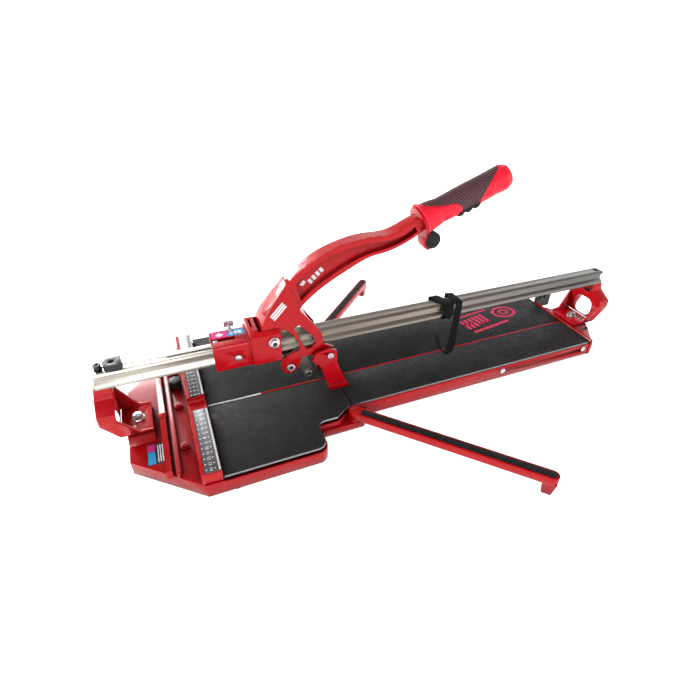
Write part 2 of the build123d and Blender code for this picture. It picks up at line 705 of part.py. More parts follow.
def slot_screw():
    """Screw that clamps the scale slide in the housing's open slot."""
    return rod_z(-287.0, -3.5, CAR_CEILING_Z + 0.3, 149.0, 3.0) + rod_z(-287.0, -3.5, 149.0, 152.0, 3.4)


def thumb_screw():
    """Wing screw that locks the carriage to the rail."""
    stem = rod_z(-263.0, 17.0, 143.0, 163.0, 2.45)
    collar = rod_z(-263.0, 17.0, CAR_TOP_Z + RUN_GAP, CAR_TOP_Z + 3, 4.5)
    wings = block(-270.0, -256.0, 15.8, 18.2, 161.0, 170.0)
    return stem + collar + wings


def pivot_bolt():
    """Bolt the lever swings on, over the rail, with a nut at each cheek."""
    body = rod_y(PIVOT_X, PIVOT_Z, -YOKE_HALF - 6.5, YOKE_HALF + 6.5, PIVOT_RADIUS)
    for side in (-1, 1):
        y0, y1 = sorted((side * YOKE_HALF, side * (YOKE_HALF + 1.5)))
        body = body + rod_y(PIVOT_X, PIVOT_Z, y0, y1, 8.0)
        y0, y1 = sorted((side * (YOKE_HALF + 1.5), side * (YOKE_HALF + 6.0)))
        body = body + hexagon_y(PIVOT_X, PIVOT_Z, y0, y1, 12.0)
    return body


def roller_bracket():
    """Steel bracket under the housing that carries the two lower rollers."""
    body = block(-252.0, CAR_STEP_X, -CAR_HALF, CAR_HALF, 104.0, CAR_BOTTOM_Z)
    for side in (-1, 1):
        y0, y1 = sorted((side * 10.5, side * 13.5))
        body = body + block(CAR_STEP_X - 2, -200.0, y0, y1, 104.0, 118.0)
    for x in ROLLER_XS:
        body = body - rod_y(x, ROLLER_Z, -30.0, 30.0, ROLLER_AXLE_RADIUS)
    return body - block(-260.0, CAR_RIGHT_X, -CAR_BORE_HALF, CAR_BORE_HALF, 118.2, 125.0)


def roller(x):
    """Lower roller that runs on the underside of the rail."""
    return rod_y(x, ROLLER_Z, -ROLLER_HALF, ROLLER_HALF, ROLLER_RADIUS) - rod_y(
        x, ROLLER_Z, -20.0, 20.0, ROLLER_AXLE_RADIUS + SHAFT_GAP
    )


def roller_axles():
    """Pins of the two lower rollers."""
    return group([rod_y(x, ROLLER_Z, -15.5, 15.5, ROLLER_AXLE_RADIUS) for x in ROLLER_XS])


def lever_plate_outline():
    """Side view of a fork plate: boss, middle and front straps, lower lug."""
    return [
        (-215.0, 184.0),
        (-196.0, 209.0),
        (-179.0, 229.0),
        (-168.0, 202.0),
        (-163.0, 184.0),
        (-146.0, 162.0),
        (-133.0, 142.0),
        (-131.0, 122.0),
        (-114.0, 112.0),
        (-113.0, 98.0),
        (-122.0, 93.0),
        (-134.0, 98.0),
        (-150.0, 106.0),
        (-166.0, 106.0),
        (-170.0, 94.0),
        (-176.0, 83.0),
        (-185.0, 79.5),
        (-194.0, 83.0),
        (-198.5, 92.0),
        (-198.5, 107.0),
        (-184.0, 115.0),
        (-169.0, 119.0),
        (-169.5, 133.0),
        (-178.0, 149.0),
        (-188.0, 160.0),
        (-195.0, 160.0),
        (-195.0, 143.0),
        (-208.0, 135.0),
        (-219.0, 141.0),
        (-224.0, 150.0),
        (-224.0, 163.0),
        (-220.0, 174.0),
    ]


def lever_boss_outline():
    """Side view of the solid root between the fork plates, over the rail."""
    back = [(-224, 153), (-224, 163), (-220, 174), (-215, 184), (-196, 209), (-179, 229)]
    return back + [(-168, 202), (-163, 184), (-152, 170), (-190, 163), (-200, 153)]


def front_window():
    """See-through window between the middle and front straps."""
    rising = [(-176.0, 160.0), (-167.0, 163.0), (-149.0, 143.0), (-142.0, 127.0)]
    return rising + [(-149.0, 118.0), (-159.0, 118.0), (-165.0, 132.0)]


def beam_top():
    """Upper edge of the lever beam, seen from the side."""
    rise = [(-216, 184), (-196, 209), (-179, 228), (-150, 249), (-126, 262), (-100, 271)]
    return rise + [(-71, 277), (-47, 278), (-20, 279), (7, 289), (28, 297)]


def beam_bottom():
    """Lower edge of the lever beam, seen from the side."""
    return [(35, 280), (7, 264), (-28, 253), (-53, 249), (-80, 238), (-110, 223), (-143, 202), (-164, 183)]


def pocket_top():
    """Underside of the beam's upper flange."""
    points = [(-166, 226), (-146, 243), (-124, 255), (-100, 263), (-71, 269)]
    return points + [(-43, 270), (-17, 271), (18, 286)]


def pocket_bottom():
    """Upper side of the beam's lower flange."""
    points = [(23, 278), (3, 267), (-28, 258), (-55, 254)]
    return points + [(-84, 244), (-112, 230), (-146, 209), (-160, 197)]


def beam():
    """Curved I-section beam between the boss and the grip."""
    upper = Spline(*[(x, -BEAM_HALF, z) for x, z in beam_top()])
    lower = Spline(*[(x, -BEAM_HALF, z) for x, z in beam_bottom()])
    tip = Line(upper @ 1, lower @ 0)
    root = Line(lower @ 1, upper @ 0)
    body = extrude(make_face([upper, tip, lower, root]), amount=2 * BEAM_HALF, dir=(0, 1, 0))
    top = Spline(*[(x, BEAM_WEB_HALF, z) for x, z in pocket_top()])
    bottom = Spline(*[(x, BEAM_WEB_HALF, z) for x, z in pocket_bottom()])
    sides = [top, Line(top @ 1, bottom @ 0), bottom, Line(bottom @ 1, top @ 0)]
    pocket = extrude(make_face(sides), amount=BEAM_HALF, dir=(0, 1, 0))
    return body - pocket - pocket.mirror(Plane.XZ)


def grip_frame():
    """Location of the grip: origin at the guard, local Z along the grip."""
    return Pos(GRIP_START[0], 0, GRIP_START[1]) * Rot(0, 90 - GRIP_ANGLE, 0)


def lever_casting():
    """Lever: forked lower end, boss, curved beam and the tang in the grip."""
    plate = slab_xz(lever_plate_outline(), FORK_INNER, FORK_OUTER)
    plate = plate + rod_y(PIVOT_X, PIVOT_Z, FORK_INNER, FORK_OUTER, 12.0)
    plate = plate - slab_xz(front_window(), FORK_INNER - 1, FORK_OUTER + 1, radius=3.0)
    body = both_sides(plate)
    body = body + slab_xz(lever_boss_outline(), -FORK_OUTER, FORK_OUTER)
    waist = [(FORK_OUTER, 60.0), (FORK_OUTER, 172.0), (BEAM_HALF, 226.0), (BEAM_HALF, 260.0)]
    body = body & slab_yz(waist + [(-y, z) for y, z in reversed(waist)], -260.0, -100.0)
    body = body + beam()
    tang = grip_frame() * (Pos(0, 0, 60) * Cylinder(TANG_RADIUS, 130))
    body = body + guard() + tang
    body = body - rod_y(PIVOT_X, PIVOT_Z, -40.0, 40.0, PIVOT_RADIUS + SHAFT_GAP)
    body = body - rod_y(HOLDER_BOLT_X, HOLDER_BOLT_Z, -40.0, 40.0, 4.0)
    return body - rod_y(BREAKER_X, BREAKER_Z, -40.0, 40.0, 3.0)


def guard():
    """Round flange below the grip, with a cradle that holds the bumper."""
    flange = Pos(2, 0, -1.5) * Cylinder(24.0, 5.0)
    cradle = bumper_place() * Cylinder(BUMPER_RADIUS + 3.5, 20.0)
    cradle = cradle & (Pos(34, 0, -4) * Box(26, 20, 10))
    seat = bumper_place() * Cylinder(BUMPER_RADIUS + RUN_GAP, 60.0)
    return grip_frame() * (flange + cradle - seat)


def bumper_place():
    """Location of the bumper's axis in the grip's frame."""
    return Pos(BUMPER_RADIUS + 23.0, 0, 8.0) * Rot(90, 0, 0)


def grip_core_outline():
    """Half section of the core: radius and distance from the guard."""
    cone = [(0, 1), (22.5, 1), (19.8, 24), (15.8, 34), (15.8, 118)]
    cap = [(19, 132), (19.6, 144), (17, 152), (10, 156), (0, 157)]
    return [(r, 0, s) for r, s in cone + cap]


def grip_core():
    """Red inner moulding of the grip: a bellied sleeve with a domed end cap."""
    outline = grip_core_outline()
    profile = Polyline((TANG_RADIUS, 0, 1), *outline[1:], (0, 0, 125), (TANG_RADIUS, 0, 125), close=True)
    return grip_frame() * revolve(make_face(profile), Axis.Z, 360)


def grip_sleeve():
    """Black textured over-moulding around the middle of the grip."""
    outline = [(15.8, 34.2), (18.4, 30), (19.3, 75), (19.1, 117), (18.6, 122), (15.8, 117.8)]
    profile = Polyline(*[(r, 0, s) for r, s in outline], close=True)
    sleeve = revolve(make_face(profile), Axis.Z, 360)
    return grip_frame() * (sleeve - grip_core_blank())


def grip_core_blank():
    """Volume of the grip core, for trimming what lies on it."""
    profile = Polyline(*grip_core_outline(), close=True)
    return revolve(make_face(profile), Axis.Z, 360)


def guard_bumper():
    """Round rubber bumper behind the lower end of the guard."""
    return grip_frame() * bumper_place() * Cylinder(BUMPER_RADIUS, 20.0)


def wheel_holder():
    """Flat steel arm between the fork plates that carries the scoring wheel."""
    lower = [(-195, 84), (-175, 84), (-166, 72), (-159, 53), (-146, 52)]
    outline = lower + [(-144, 64), (-155, 100), (-190, 101)]
    body = slab_xz(outline, -4.0, 4.0)
    hub = rod_y(HOLDER_BOLT_X, HOLDER_BOLT_Z, -FORK_INNER, FORK_INNER, 7.5)
    body = body + hub
    body = body - rod_y(HOLDER_BOLT_X, HOLDER_BOLT_Z, -30.0, 30.0, 4.0)
    body = body - block(-165.0, -138.0, -1.6, 1.6, 45.0, 69.0)
    return body - rod_y(WHEEL_X, WHEEL_Z, -10.0, 10.0, 2.0)


def holder_bolt():
    """Bolt and ring nuts that clamp the wheel holder in the fork."""
    body = rod_y(HOLDER_BOLT_X, HOLDER_BOLT_Z, -FORK_OUTER - 4, FORK_OUTER + 4, 4.0)
    for side in (-1, 1):
        y0, y1 = sorted((side * FORK_OUTER, side * (FORK_OUTER + 4)))
        body = body + rod_y(HOLDER_BOLT_X, HOLDER_BOLT_Z, y0, y1, 6.5)
        y0, y1 = sorted((side * (FORK_OUTER + 1), side * (FORK_OUTER + 5)))
        body = body - hexagon_y(HOLDER_BOLT_X, HOLDER_BOLT_Z, y0, y1, 6.0)
    return body


def scoring_wheel():
    """Carbide wheel with a bevelled rim."""
    outline = [(2.05, -1.3), (5.5, -1.3), (WHEEL_RADIUS, 0), (5.5, 1.3), (2.05, 1.3)]
    profile = Polyline(*[(r, 0, s) for r, s in outline], close=True)
    return Pos(WHEEL_X, 0, WHEEL_Z) * Rot(90, 0, 0) * revolve(make_face(profile), Axis.Z, 360)


def wheel_axle():
    """Pin of the scoring wheel with a ring head."""
    body = rod_y(WHEEL_X, WHEEL_Z, -7.0, 7.0, 2.0)
    for side in (-1, 1):
        y0, y1 = sorted((side * 4.0, side * 7.0))
        body = body + rod_y(WHEEL_X, WHEEL_Z, y0, y1, 6.4)
        y0, y1 = sorted((side * 5.5, side * 8.0))
        body = body - hexagon_y(WHEEL_X, WHEEL_Z, y0, y1, 6.0)
    return body


def breaker_pin():
    """Stub bolts that the breaker foot tilts on, one each side of the rail."""
    pins = []
    for side in (-1, 1):
        y0, y1 = sorted((side * FORK_INNER, side * FOOT_OUTER))
        pin = rod_y(BREAKER_X, BREAKER_Z, y0, y1, 3.0)
        y0, y1 = sorted((side * (FOOT_OUTER + 0.1), side * (FOOT_OUTER + 3.0)))
        head = rod_y(BREAKER_X, BREAKER_Z, y0, y1, 5.0) - hexagon_y(BREAKER_X, BREAKER_Z, y0 - 9, y1 + 9, 4.0)
        core = sorted((side * FOOT_OUTER, side * (FOOT_OUTER + 1.2)))
        pins.append(pin + head + rod_y(BREAKER_X, BREAKER_Z, *core, 3.0))
    return group(pins)


def breaker_foot():
    """Two spread breaking pads joined under the rail, tilting on the fork."""
    side_view = [
        (-152.0, 99.0),
        (-146.0, 112.0),
        (-124.0, 116.0),
        (-112.0, 110.0),
        (-111.0, 86.0),
        (-103.0, 62.0),
        (-92.0, 38.5),
        (-126.0, 38.5),
        (-132.0, 60.0),
        (-139.0, 86.0),
    ]
    wing = slab_xz(side_view, FOOT_INNER, FOOT_OUTER)
    toe = slab_xz([(-129.0, 47.0), (-99.0, 47.0), (-92.0, 38.5), (-126.0, 38.5)], FOOT_INNER, 36.0)
    wing = wing + toe
    body = both_sides(wing)
    body = body + block(-122.0, -111.5, -FOOT_INNER - 1, FOOT_INNER + 1, 74.0, 88.0)
    return body - rod_y(BREAKER_X, BREAKER_Z, -40.0, 40.0, 3.05)


def breaker_spring():
    """Torsion springs between fork and foot, kept as plain sleeves."""
    sleeves = []
    for side in (-1, 1):
        y0, y1 = sorted((side * (FORK_OUTER + 0.2), side * (FOOT_INNER - 0.2)))
        sleeve = rod_y(BREAKER_X, BREAKER_Z, y0, y1, 6.2)
        sleeves.append(sleeve - rod_y(BREAKER_X, BREAKER_Z, -40.0, 40.0, 3.4))
    return group(sleeves)


def lock_knob():
    """Black clamping knob on the deck with finger flutes."""
    body = rod_z(-356.0, 76.0, DECK_Z + RUN_GAP, 44.0, 9.5)
    for step in range(6):
        angle = math.radians(60 * step)
        body = body - rod_z(-356.0 + 11.5 * math.cos(angle), 76.0 + 11.5 * math.sin(angle), 20.0, 50.0, 3.4)
    return body


def rear_bracket():
    """Angle plate behind the far board: a flange on the channel and an upright web."""
    plate = block(REAR_X, REAR_X + 3, BRACKET_Y, FAR_NARROW_Y, BASE_BOTTOM_Z, BOARD_TOP_Z)
    plate = plate + block(REAR_X, BRACKET_END_X, BRACKET_Y, BRACKET_Y + 3, *BRACKET_Z)
    for x, z in bracket_screw_places():
        plate = plate - rod_y(x, z, BRACKET_Y - 1, BRACKET_Y + 4, 2.5)
    return plate


def bracket_screw_places():
    """Centres of the screws in the plate's upright web."""
    return [(405.0, 47.0), (418.0, 47.0)]


def bracket_screws():
    """Pan head screws and their nuts in the angle plate."""
    screws = []
    for x, z in bracket_screw_places():
        head = rod_y(x, z, BRACKET_Y - 2, BRACKET_Y, 4.0)
        shank = rod_y(x, z, BRACKET_Y, BRACKET_Y + 3, 2.5)
        screws.append(head + shank + hexagon_y(x, z, BRACKET_Y + 3, BRACKET_Y + 6, 8.0))
    return group(screws)


def tie_strap():
    """Webbing strap: two turns round the rail and a hanging tail."""
    pieces = []
    inner = RAIL_FOOT_HALF + RUN_GAP
    outer = inner + STRAP_THICKNESS
    for x0, x1 in STRAP_TURNS_X:
        ring = block(x0, x1, -outer, outer, RAIL_BOTTOM_Z - 2, RAIL_TOP_Z + 2)
        ring = ring - block(x0 - 1, x1 + 1, -inner, inner, RAIL_BOTTOM_Z - RUN_GAP, RAIL_TOP_Z + RUN_GAP)
        pieces.append(ring)
    start = (STRAP_TAIL_X, -outer, RAIL_BOTTOM_Z)
    low = (STRAP_TAIL_X, -outer, STRAP_TAIL_BOTTOM_Z + STRAP_HOOK_RADIUS)
    hook_end = (STRAP_TAIL_X - 2 * STRAP_HOOK_RADIUS, -outer, STRAP_TAIL_BOTTOM_Z + STRAP_HOOK_RADIUS)
    tip = (STRAP_TAIL_X - 2.6 * STRAP_HOOK_RADIUS, -outer, STRAP_TIP_Z)
    bottom = (STRAP_TAIL_X - STRAP_HOOK_RADIUS, -outer, STRAP_TAIL_BOTTOM_Z)
    route = [Line(start, low), ThreePointArc(low, bottom, hook_end), Line(hook_end, tip)]
    for piece in route:
        across = Plane(origin=piece @ 0, z_dir=piece % 0, x_dir=(0, 1, 0))
        section = across * Rectangle(STRAP_TAIL_DEPTH, STRAP_THICKNESS)
        pieces.append(Pos(0, -STRAP_TAIL_DEPTH / 2 - 0.2, 0) * sweep(section, path=piece))
    tail = pieces[-3] + pieces[-2] + pieces[-1]
    return group(pieces[:-3] + [tail])


def build_parts():
    """Every node by name."""
    near = (NEAR_NARROW_Y, NEAR_NOTCH_Y, NEAR_WIDE_Y)
    far = (FAR_NARROW_Y, FAR_NOTCH_Y, FAR_WIDE_Y)
    plate = (PLATE_BOTTOM_Z, PLATE_BOTTOM_Z + PLATE_THICKNESS)
    mat = (PLATE_BOTTOM_Z + PLATE_THICKNESS, BOARD_TOP_Z)
    return {
        "front_casting": front_casting(),
        "rear_channel": rear_channel(),
        "rear_casting": rear_casting(),
        "front_post": post(-1),
        "rear_post": post(1),
        "post_bolts": post_bolts(),
        "rail": rail(),
        "rail_bolts": rail_bolts(),
        "stop_block": stop_block(),
        "fence_bar": fence_bar(),
        "ruler_near": ruler(RULER_NEAR_Y, -RULER_INNER_Y),
        "ruler_far": ruler(RULER_INNER_Y, RULER_FAR_Y),
        "fence_screws": fence_screws(),
        "steel_strip": steel_strip(),
        "front_plate_near": front_board(*near, *plate),
        "front_mat_near": front_board(*near, *mat),
        "front_plate_far": front_board(*far, *plate),
        "front_mat_far": front_board(*far, *mat),
        "rear_plate_near": rear_board(NEAR_NARROW_Y, *plate),
        "rear_mat_near": rear_board(NEAR_NARROW_Y, *mat),
        "rear_plate_far": rear_board(FAR_NARROW_Y, *plate),
        "rear_mat_far": rear_board(FAR_NARROW_Y, *mat),
        "side_screws": side_screws(),
        "rubber_feet": rubber_feet(),
        "board_springs": board_springs(),
        "arm_near": near_arm_place() * arm(ARM_NEAR_LENGTH),
        "arm_pad_near": near_arm_place() * arm_pad(ARM_NEAR_LENGTH),
        "arm_far": far_arm_place() * arm(ARM_FAR_LENGTH),
        "arm_pad_far": far_arm_place() * arm_pad(ARM_FAR_LENGTH),
        "arm_bolts": arm_bolts(),
        "carriage_housing": carriage_housing(),
        "slide_pads": slide_pads(),
        "pad_screws": pad_screws(),
        "slot_screw": slot_screw(),
        "thumb_screw": thumb_screw(),
        "pivot_bolt": pivot_bolt(),
        "roller_bracket": roller_bracket(),
        "roller_left": roller(ROLLER_XS[0]),
        "roller_right": roller(ROLLER_XS[1]),
        "roller_axles": roller_axles(),
        "lever_casting": lever_casting(),
        "grip_core": grip_core(),
        "grip_sleeve": grip_sleeve(),
        "guard_bumper": guard_bumper(),
        "wheel_holder": wheel_holder(),
        "holder_bolt": holder_bolt(),
        "scoring_wheel": scoring_wheel(),
        "wheel_axle": wheel_axle(),
        "breaker_pin": breaker_pin(),
        "breaker_foot": breaker_foot(),
        "breaker_spring": breaker_spring(),
        "lock_knob": lock_knob(),
        "rear_bracket": rear_bracket(),
        "bracket_screws": bracket_screws(),
        "tie_strap": tie_strap(),
    }


os.makedirs("parts", exist_ok=True)
for name, solid in build_parts().items():
    export_step(solid, f"parts/{name}.step")
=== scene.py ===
import bmesh
import bpy
import json
import math
from mathutils import Matrix, Vector


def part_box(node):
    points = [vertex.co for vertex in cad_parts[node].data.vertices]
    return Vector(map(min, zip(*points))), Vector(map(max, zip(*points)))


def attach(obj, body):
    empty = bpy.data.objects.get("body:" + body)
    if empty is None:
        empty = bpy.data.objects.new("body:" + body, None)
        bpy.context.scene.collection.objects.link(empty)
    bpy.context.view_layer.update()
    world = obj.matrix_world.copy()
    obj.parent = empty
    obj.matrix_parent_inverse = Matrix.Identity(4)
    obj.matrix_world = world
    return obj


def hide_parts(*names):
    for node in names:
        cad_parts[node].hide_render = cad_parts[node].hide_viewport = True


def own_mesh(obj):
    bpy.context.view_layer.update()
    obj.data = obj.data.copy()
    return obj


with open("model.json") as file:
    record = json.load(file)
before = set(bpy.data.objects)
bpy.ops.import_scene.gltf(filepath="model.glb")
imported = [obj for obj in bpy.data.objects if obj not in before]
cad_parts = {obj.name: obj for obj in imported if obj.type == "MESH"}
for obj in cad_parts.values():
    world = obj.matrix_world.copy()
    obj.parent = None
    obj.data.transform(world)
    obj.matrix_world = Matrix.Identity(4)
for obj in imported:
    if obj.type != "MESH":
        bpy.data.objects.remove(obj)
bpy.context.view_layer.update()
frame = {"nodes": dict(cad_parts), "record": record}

MM = 0.001

# Camera at the viewing angle of the reference, with its place in metres.
CAMERA_PLACE = (-0.3222, -0.5862, 0.5276)
CAMERA_TURN_DEG = (55.071, -1.184, -22.896)
CAMERA_LENS_MM = 23.98
CAMERA_SENSOR_MM = 36
CAMERA_SHIFT = (-0.00997, -0.00106)

RED = (0.39, 0.001, 0.0045)
BRIGHT_RED = (0.70, 0.010, 0.030)
DARK_GREY = (0.0125, 0.012, 0.0125)
WHITE = (1, 1, 1)

# Start of the grip at the guard, in metres, and the rise of its axis towards the rear.
GRIP_START = Vector((33.0, 0.0, 290.0)) * MM
GRIP_RISE_DEG = 20.5


# ---------------------------------------------------------------- materials


class Look:
    """One material while it is made, with short ways to add its nodes."""

    def __init__(self, name, color, roughness, metallic=0.0, coat=0.0, specular=0.5):
        self.material = bpy.data.materials.new(name)
        self.material.use_nodes = True
        self.material.diffuse_color = (*color, 1)
        self.nodes = self.material.node_tree.nodes
        self.links = self.material.node_tree.links
        self.shader = self.nodes["Principled BSDF"]
        self.color = color
        self.shader.inputs["Base Color"].default_value = (*color, 1)
        self.shader.inputs["Roughness"].default_value = roughness
        self.shader.inputs["Metallic"].default_value = metallic
        self.shader.inputs["Coat Weight"].default_value = coat
        self.shader.inputs["Coat Roughness"].default_value = 0.12
        self.shader.inputs["Specular IOR Level"].default_value = specular

    def place(self, stretch=(1, 1, 1), turn=(0, 0, 0)):
        """Object coordinates, stretched and turned."""
        coordinates = self.nodes.new("ShaderNodeTexCoord")
        mapping = self.nodes.new("ShaderNodeMapping")
        mapping.inputs["Scale"].default_value = stretch
        mapping.inputs["Rotation"].default_value = [math.radians(a) for a in turn]
        self.links.new(coordinates.outputs["Object"], mapping.inputs["Vector"])
        return mapping.outputs["Vector"]

    def noise(self, scale, detail, stretch=(1, 1, 1), roughness=0.55):
        """Cloudy noise, as a value from 0 to 1."""
        node = self.nodes.new("ShaderNodeTexNoise")
        node.inputs["Scale"].default_value = scale
        node.inputs["Detail"].default_value = detail
        node.inputs["Roughness"].default_value = roughness
        self.links.new(self.place(stretch), node.inputs["Vector"])
        return node.outputs["Fac"]

    def cells(self, scale):
        """Distance to the nearest of scattered points."""
        node = self.nodes.new("ShaderNodeTexVoronoi")
        node.inputs["Scale"].default_value = scale
        self.links.new(self.place(), node.inputs["Vector"])
        return node.outputs["Distance"]

    def wave(self, scale, direction, turn=(0, 0, 0)):
        """Even ribs along one direction."""
        node = self.nodes.new("ShaderNodeTexWave")
        node.bands_direction = direction
        node.inputs["Scale"].default_value = scale
        self.links.new(self.place(turn=turn), node.inputs["Vector"])
        return node.outputs["Fac"]

    def larger(self, first, second):
        """The larger of two values."""
        node = self.nodes.new("ShaderNodeMath")
        node.operation = "MAXIMUM"
        self.links.new(first, node.inputs[0])
        self.links.new(second, node.inputs[1])
        return node.outputs[0]

    def spread(self, source, low, high, from_low=0.3, from_high=0.7):
        """Maps a value to another range."""
        node = self.nodes.new("ShaderNodeMapRange")
        node.inputs["From Min"].default_value = from_low
        node.inputs["From Max"].default_value = from_high
        node.inputs["To Min"].default_value = low
        node.inputs["To Max"].default_value = high
        self.links.new(source, node.inputs["Value"])
        return node.outputs["Result"]

    def blend(self, factor, first, second):
        """Mixes two colours."""
        node = self.nodes.new("ShaderNodeMix")
        node.data_type = "RGBA"
        self.links.new(factor, node.inputs["Factor"])
        for name, value in (("A", first), ("B", second)):
            socket = [s for s in node.inputs if s.name == name and s.type == "RGBA"][0]
            if isinstance(value, tuple):
                socket.default_value = (*value, 1)
            else:
                self.links.new(value, socket)
        return [s for s in node.outputs if s.type == "RGBA"][0]

    def tint(self, factor, other, base=None):
        """Sends a mix of the base colour and another to the shader."""
        color = self.blend(factor, base or self.color, other)
        self.links.new(color, self.shader.inputs["Base Color"])
        return color

    def polish(self, source, low, high):
        """Varies the roughness between two values."""
        self.links.new(self.spread(source, low, high), self.shader.inputs["Roughness"])

    def recesses(self, reach_mm, low):
        """Mask of painted shade: high in corners and pockets, where shade falls, and 0 in the open.
        """
        node = self.nodes.new("ShaderNodeAmbientOcclusion")
        node.inputs["Distance"].default_value = reach_mm * MM
        return self.spread(node.outputs["AO"], 0.85, 0.0, low, 0.85)

    def bump(self, height, strength, distance_mm):
        """Adds relief on top of any relief that is there already."""
        node = self.nodes.new("ShaderNodeBump")
        node.inputs["Strength"].default_value = strength
        node.inputs["Distance"].default_value = distance_mm * MM
        self.links.new(height, node.inputs["Height"])
        socket = self.shader.inputs["Normal"]
        if socket.is_linked:
            self.links.new(socket.links[0].from_socket, node.inputs["Normal"])
        self.links.new(node.outputs["Normal"], socket)


def scaled(color, factor):
    """A lighter or darker shade of a colour."""
    return tuple(min(1.0, c * factor) for c in color)


def powder_coat(name, color, gloss=0.30):
    """Glossy paint on a casting: orange peel, faint cast relief, uneven sheen and painted shade in
    corners and pockets.
    """
    look = Look(name, color, gloss, coat=0.24, specular=0.10)
    uneven = look.blend(look.noise(34, 5), color, scaled(color, 0.72))
    # Painted shade: corners and pockets darkened towards 14% of the paint colour.
    look.tint(look.recesses(45, 0.25), scaled(color, 0.14), uneven)
    look.polish(look.noise(60, 4), gloss - 0.08, gloss + 0.14)
    look.bump(look.noise(420, 2), 0.10, 0.10)
    look.bump(look.noise(70, 4), 0.16, 0.35)
    return look.material


def brushed_steel(name, color, gloss, along=(1, 30, 30)):
    """Drawn or ground steel with fine lines along one direction and long dull patches."""
    look = Look(name, color, gloss, metallic=1.0)
    lines = look.noise(260, 5, stretch=along, roughness=0.7)
    patches = look.noise(22, 4, stretch=tuple(1 + a / 12 for a in along))
    look.tint(patches, scaled(color, 0.62))
    look.polish(lines, gloss - 0.10, gloss + 0.14)
    look.bump(lines, 0.22, 0.05)
    return look.material


def rail_steel():
    """Drawn rail, with painted light and shade along it: pale at the front and darker brown towards
    the rear.
    """
    look = Look("rail_steel", (0.44, 0.42, 0.37), 0.30, metallic=1.0)
    split = look.nodes.new("ShaderNodeSeparateXYZ")
    look.links.new(look.place(), split.inputs["Vector"])
    # Painted light and shade: paler towards the front end, darker and browner towards the rear.
    along = look.spread(split.outputs["X"], 0.0, 1.0, -0.42, -0.12)
    far = look.spread(split.outputs["X"], 0.0, 1.0, 0.0, 0.35)
    middle = look.blend(along, look.color, (0.28, 0.245, 0.205))
    shade_along_rail = look.blend(far, middle, (0.13, 0.125, 0.12))
    patches = look.spread(look.noise(9, 4, stretch=(1, 4, 4)), 0.0, 0.5, 0.45, 0.7)
    look.tint(patches, (0.17, 0.14, 0.12), shade_along_rail)
    lines = look.noise(260, 5, stretch=(1, 30, 30), roughness=0.7)
    look.polish(lines, 0.24, 0.46)
    look.bump(lines, 0.2, 0.05)
    return look.material


def bright_zinc(name, color, gloss=0.24):
    """Plated fastener with a slightly milky plating."""
    look = Look(name, color, gloss, metallic=1.0)
    look.tint(look.noise(300, 4), scaled(color, 0.66))
    look.polish(look.noise(500, 3), gloss - 0.06, gloss + 0.16)
    look.bump(look.noise(900, 2), 0.12, 0.04)
    return look.material


def moulded(name, color, gloss, relief=0.05):
    """Moulded plastic, rubber or print with a fine grain."""
    look = Look(name, color, gloss, specular=0.2)
    look.tint(look.noise(90, 4), scaled(color, 0.7))
    look.polish(look.noise(240, 3), gloss - 0.08, gloss + 0.12)
    look.bump(look.noise(1400, 2), 0.35, relief)
    return look.material


def mat_rubber():
    """Board covering: dark sheet rubber with a pebbled face, dust in its pores and pale scuffs."""
    look = Look("mat_rubber", DARK_GREY, 0.62, specular=0.11)
    dust = look.noise(26, 6, roughness=0.65)
    dusty = look.tint(look.spread(dust, 0.0, 0.7, 0.45, 0.75), (0.023, 0.022, 0.023))
    scuffs = look.noise(30, 6, stretch=(1, 9, 1), roughness=0.7)
    look.tint(look.spread(scuffs, 0.0, 0.55, 0.665, 0.74), (0.11, 0.105, 0.10), dusty)
    look.polish(look.noise(150, 4), 0.54, 0.78)
    look.bump(look.cells(1050), 0.5, 0.14)
    look.bump(look.noise(2400, 2), 0.3, 0.03)
    return look.material


def weave(name, color):
    """Webbing: fine ribs across its length and a twill along it."""
    look = Look(name, color, 0.72, specular=0.04)
    ribs = look.wave(520, "Z")
    twill = look.wave(420, "DIAGONAL")
    look.tint(look.spread(ribs, 0.0, 0.6), scaled(color, 2.6))
    look.bump(ribs, 0.7, 0.3)
    look.bump(twill, 0.4, 0.15)
    return look.material


def crosshatch(name, color):
    """Over-moulded grip with a raised diamond pattern."""
    look = Look(name, color, 0.55, specular=0.15)
    lean = 90 - GRIP_RISE_DEG
    first = look.wave(95, "DIAGONAL", turn=(0, lean, 0))
    second = look.wave(95, "DIAGONAL", turn=(0, lean, 180))
    ridge = look.larger(first, second)
    look.tint(look.spread(ridge, 0.0, 0.8, 0.7, 0.98), (0.15, 0.045, 0.055))
    look.bump(ridge, 0.8, 0.5)
    look.bump(look.noise(1500, 2), 0.2, 0.05)
    return look.material


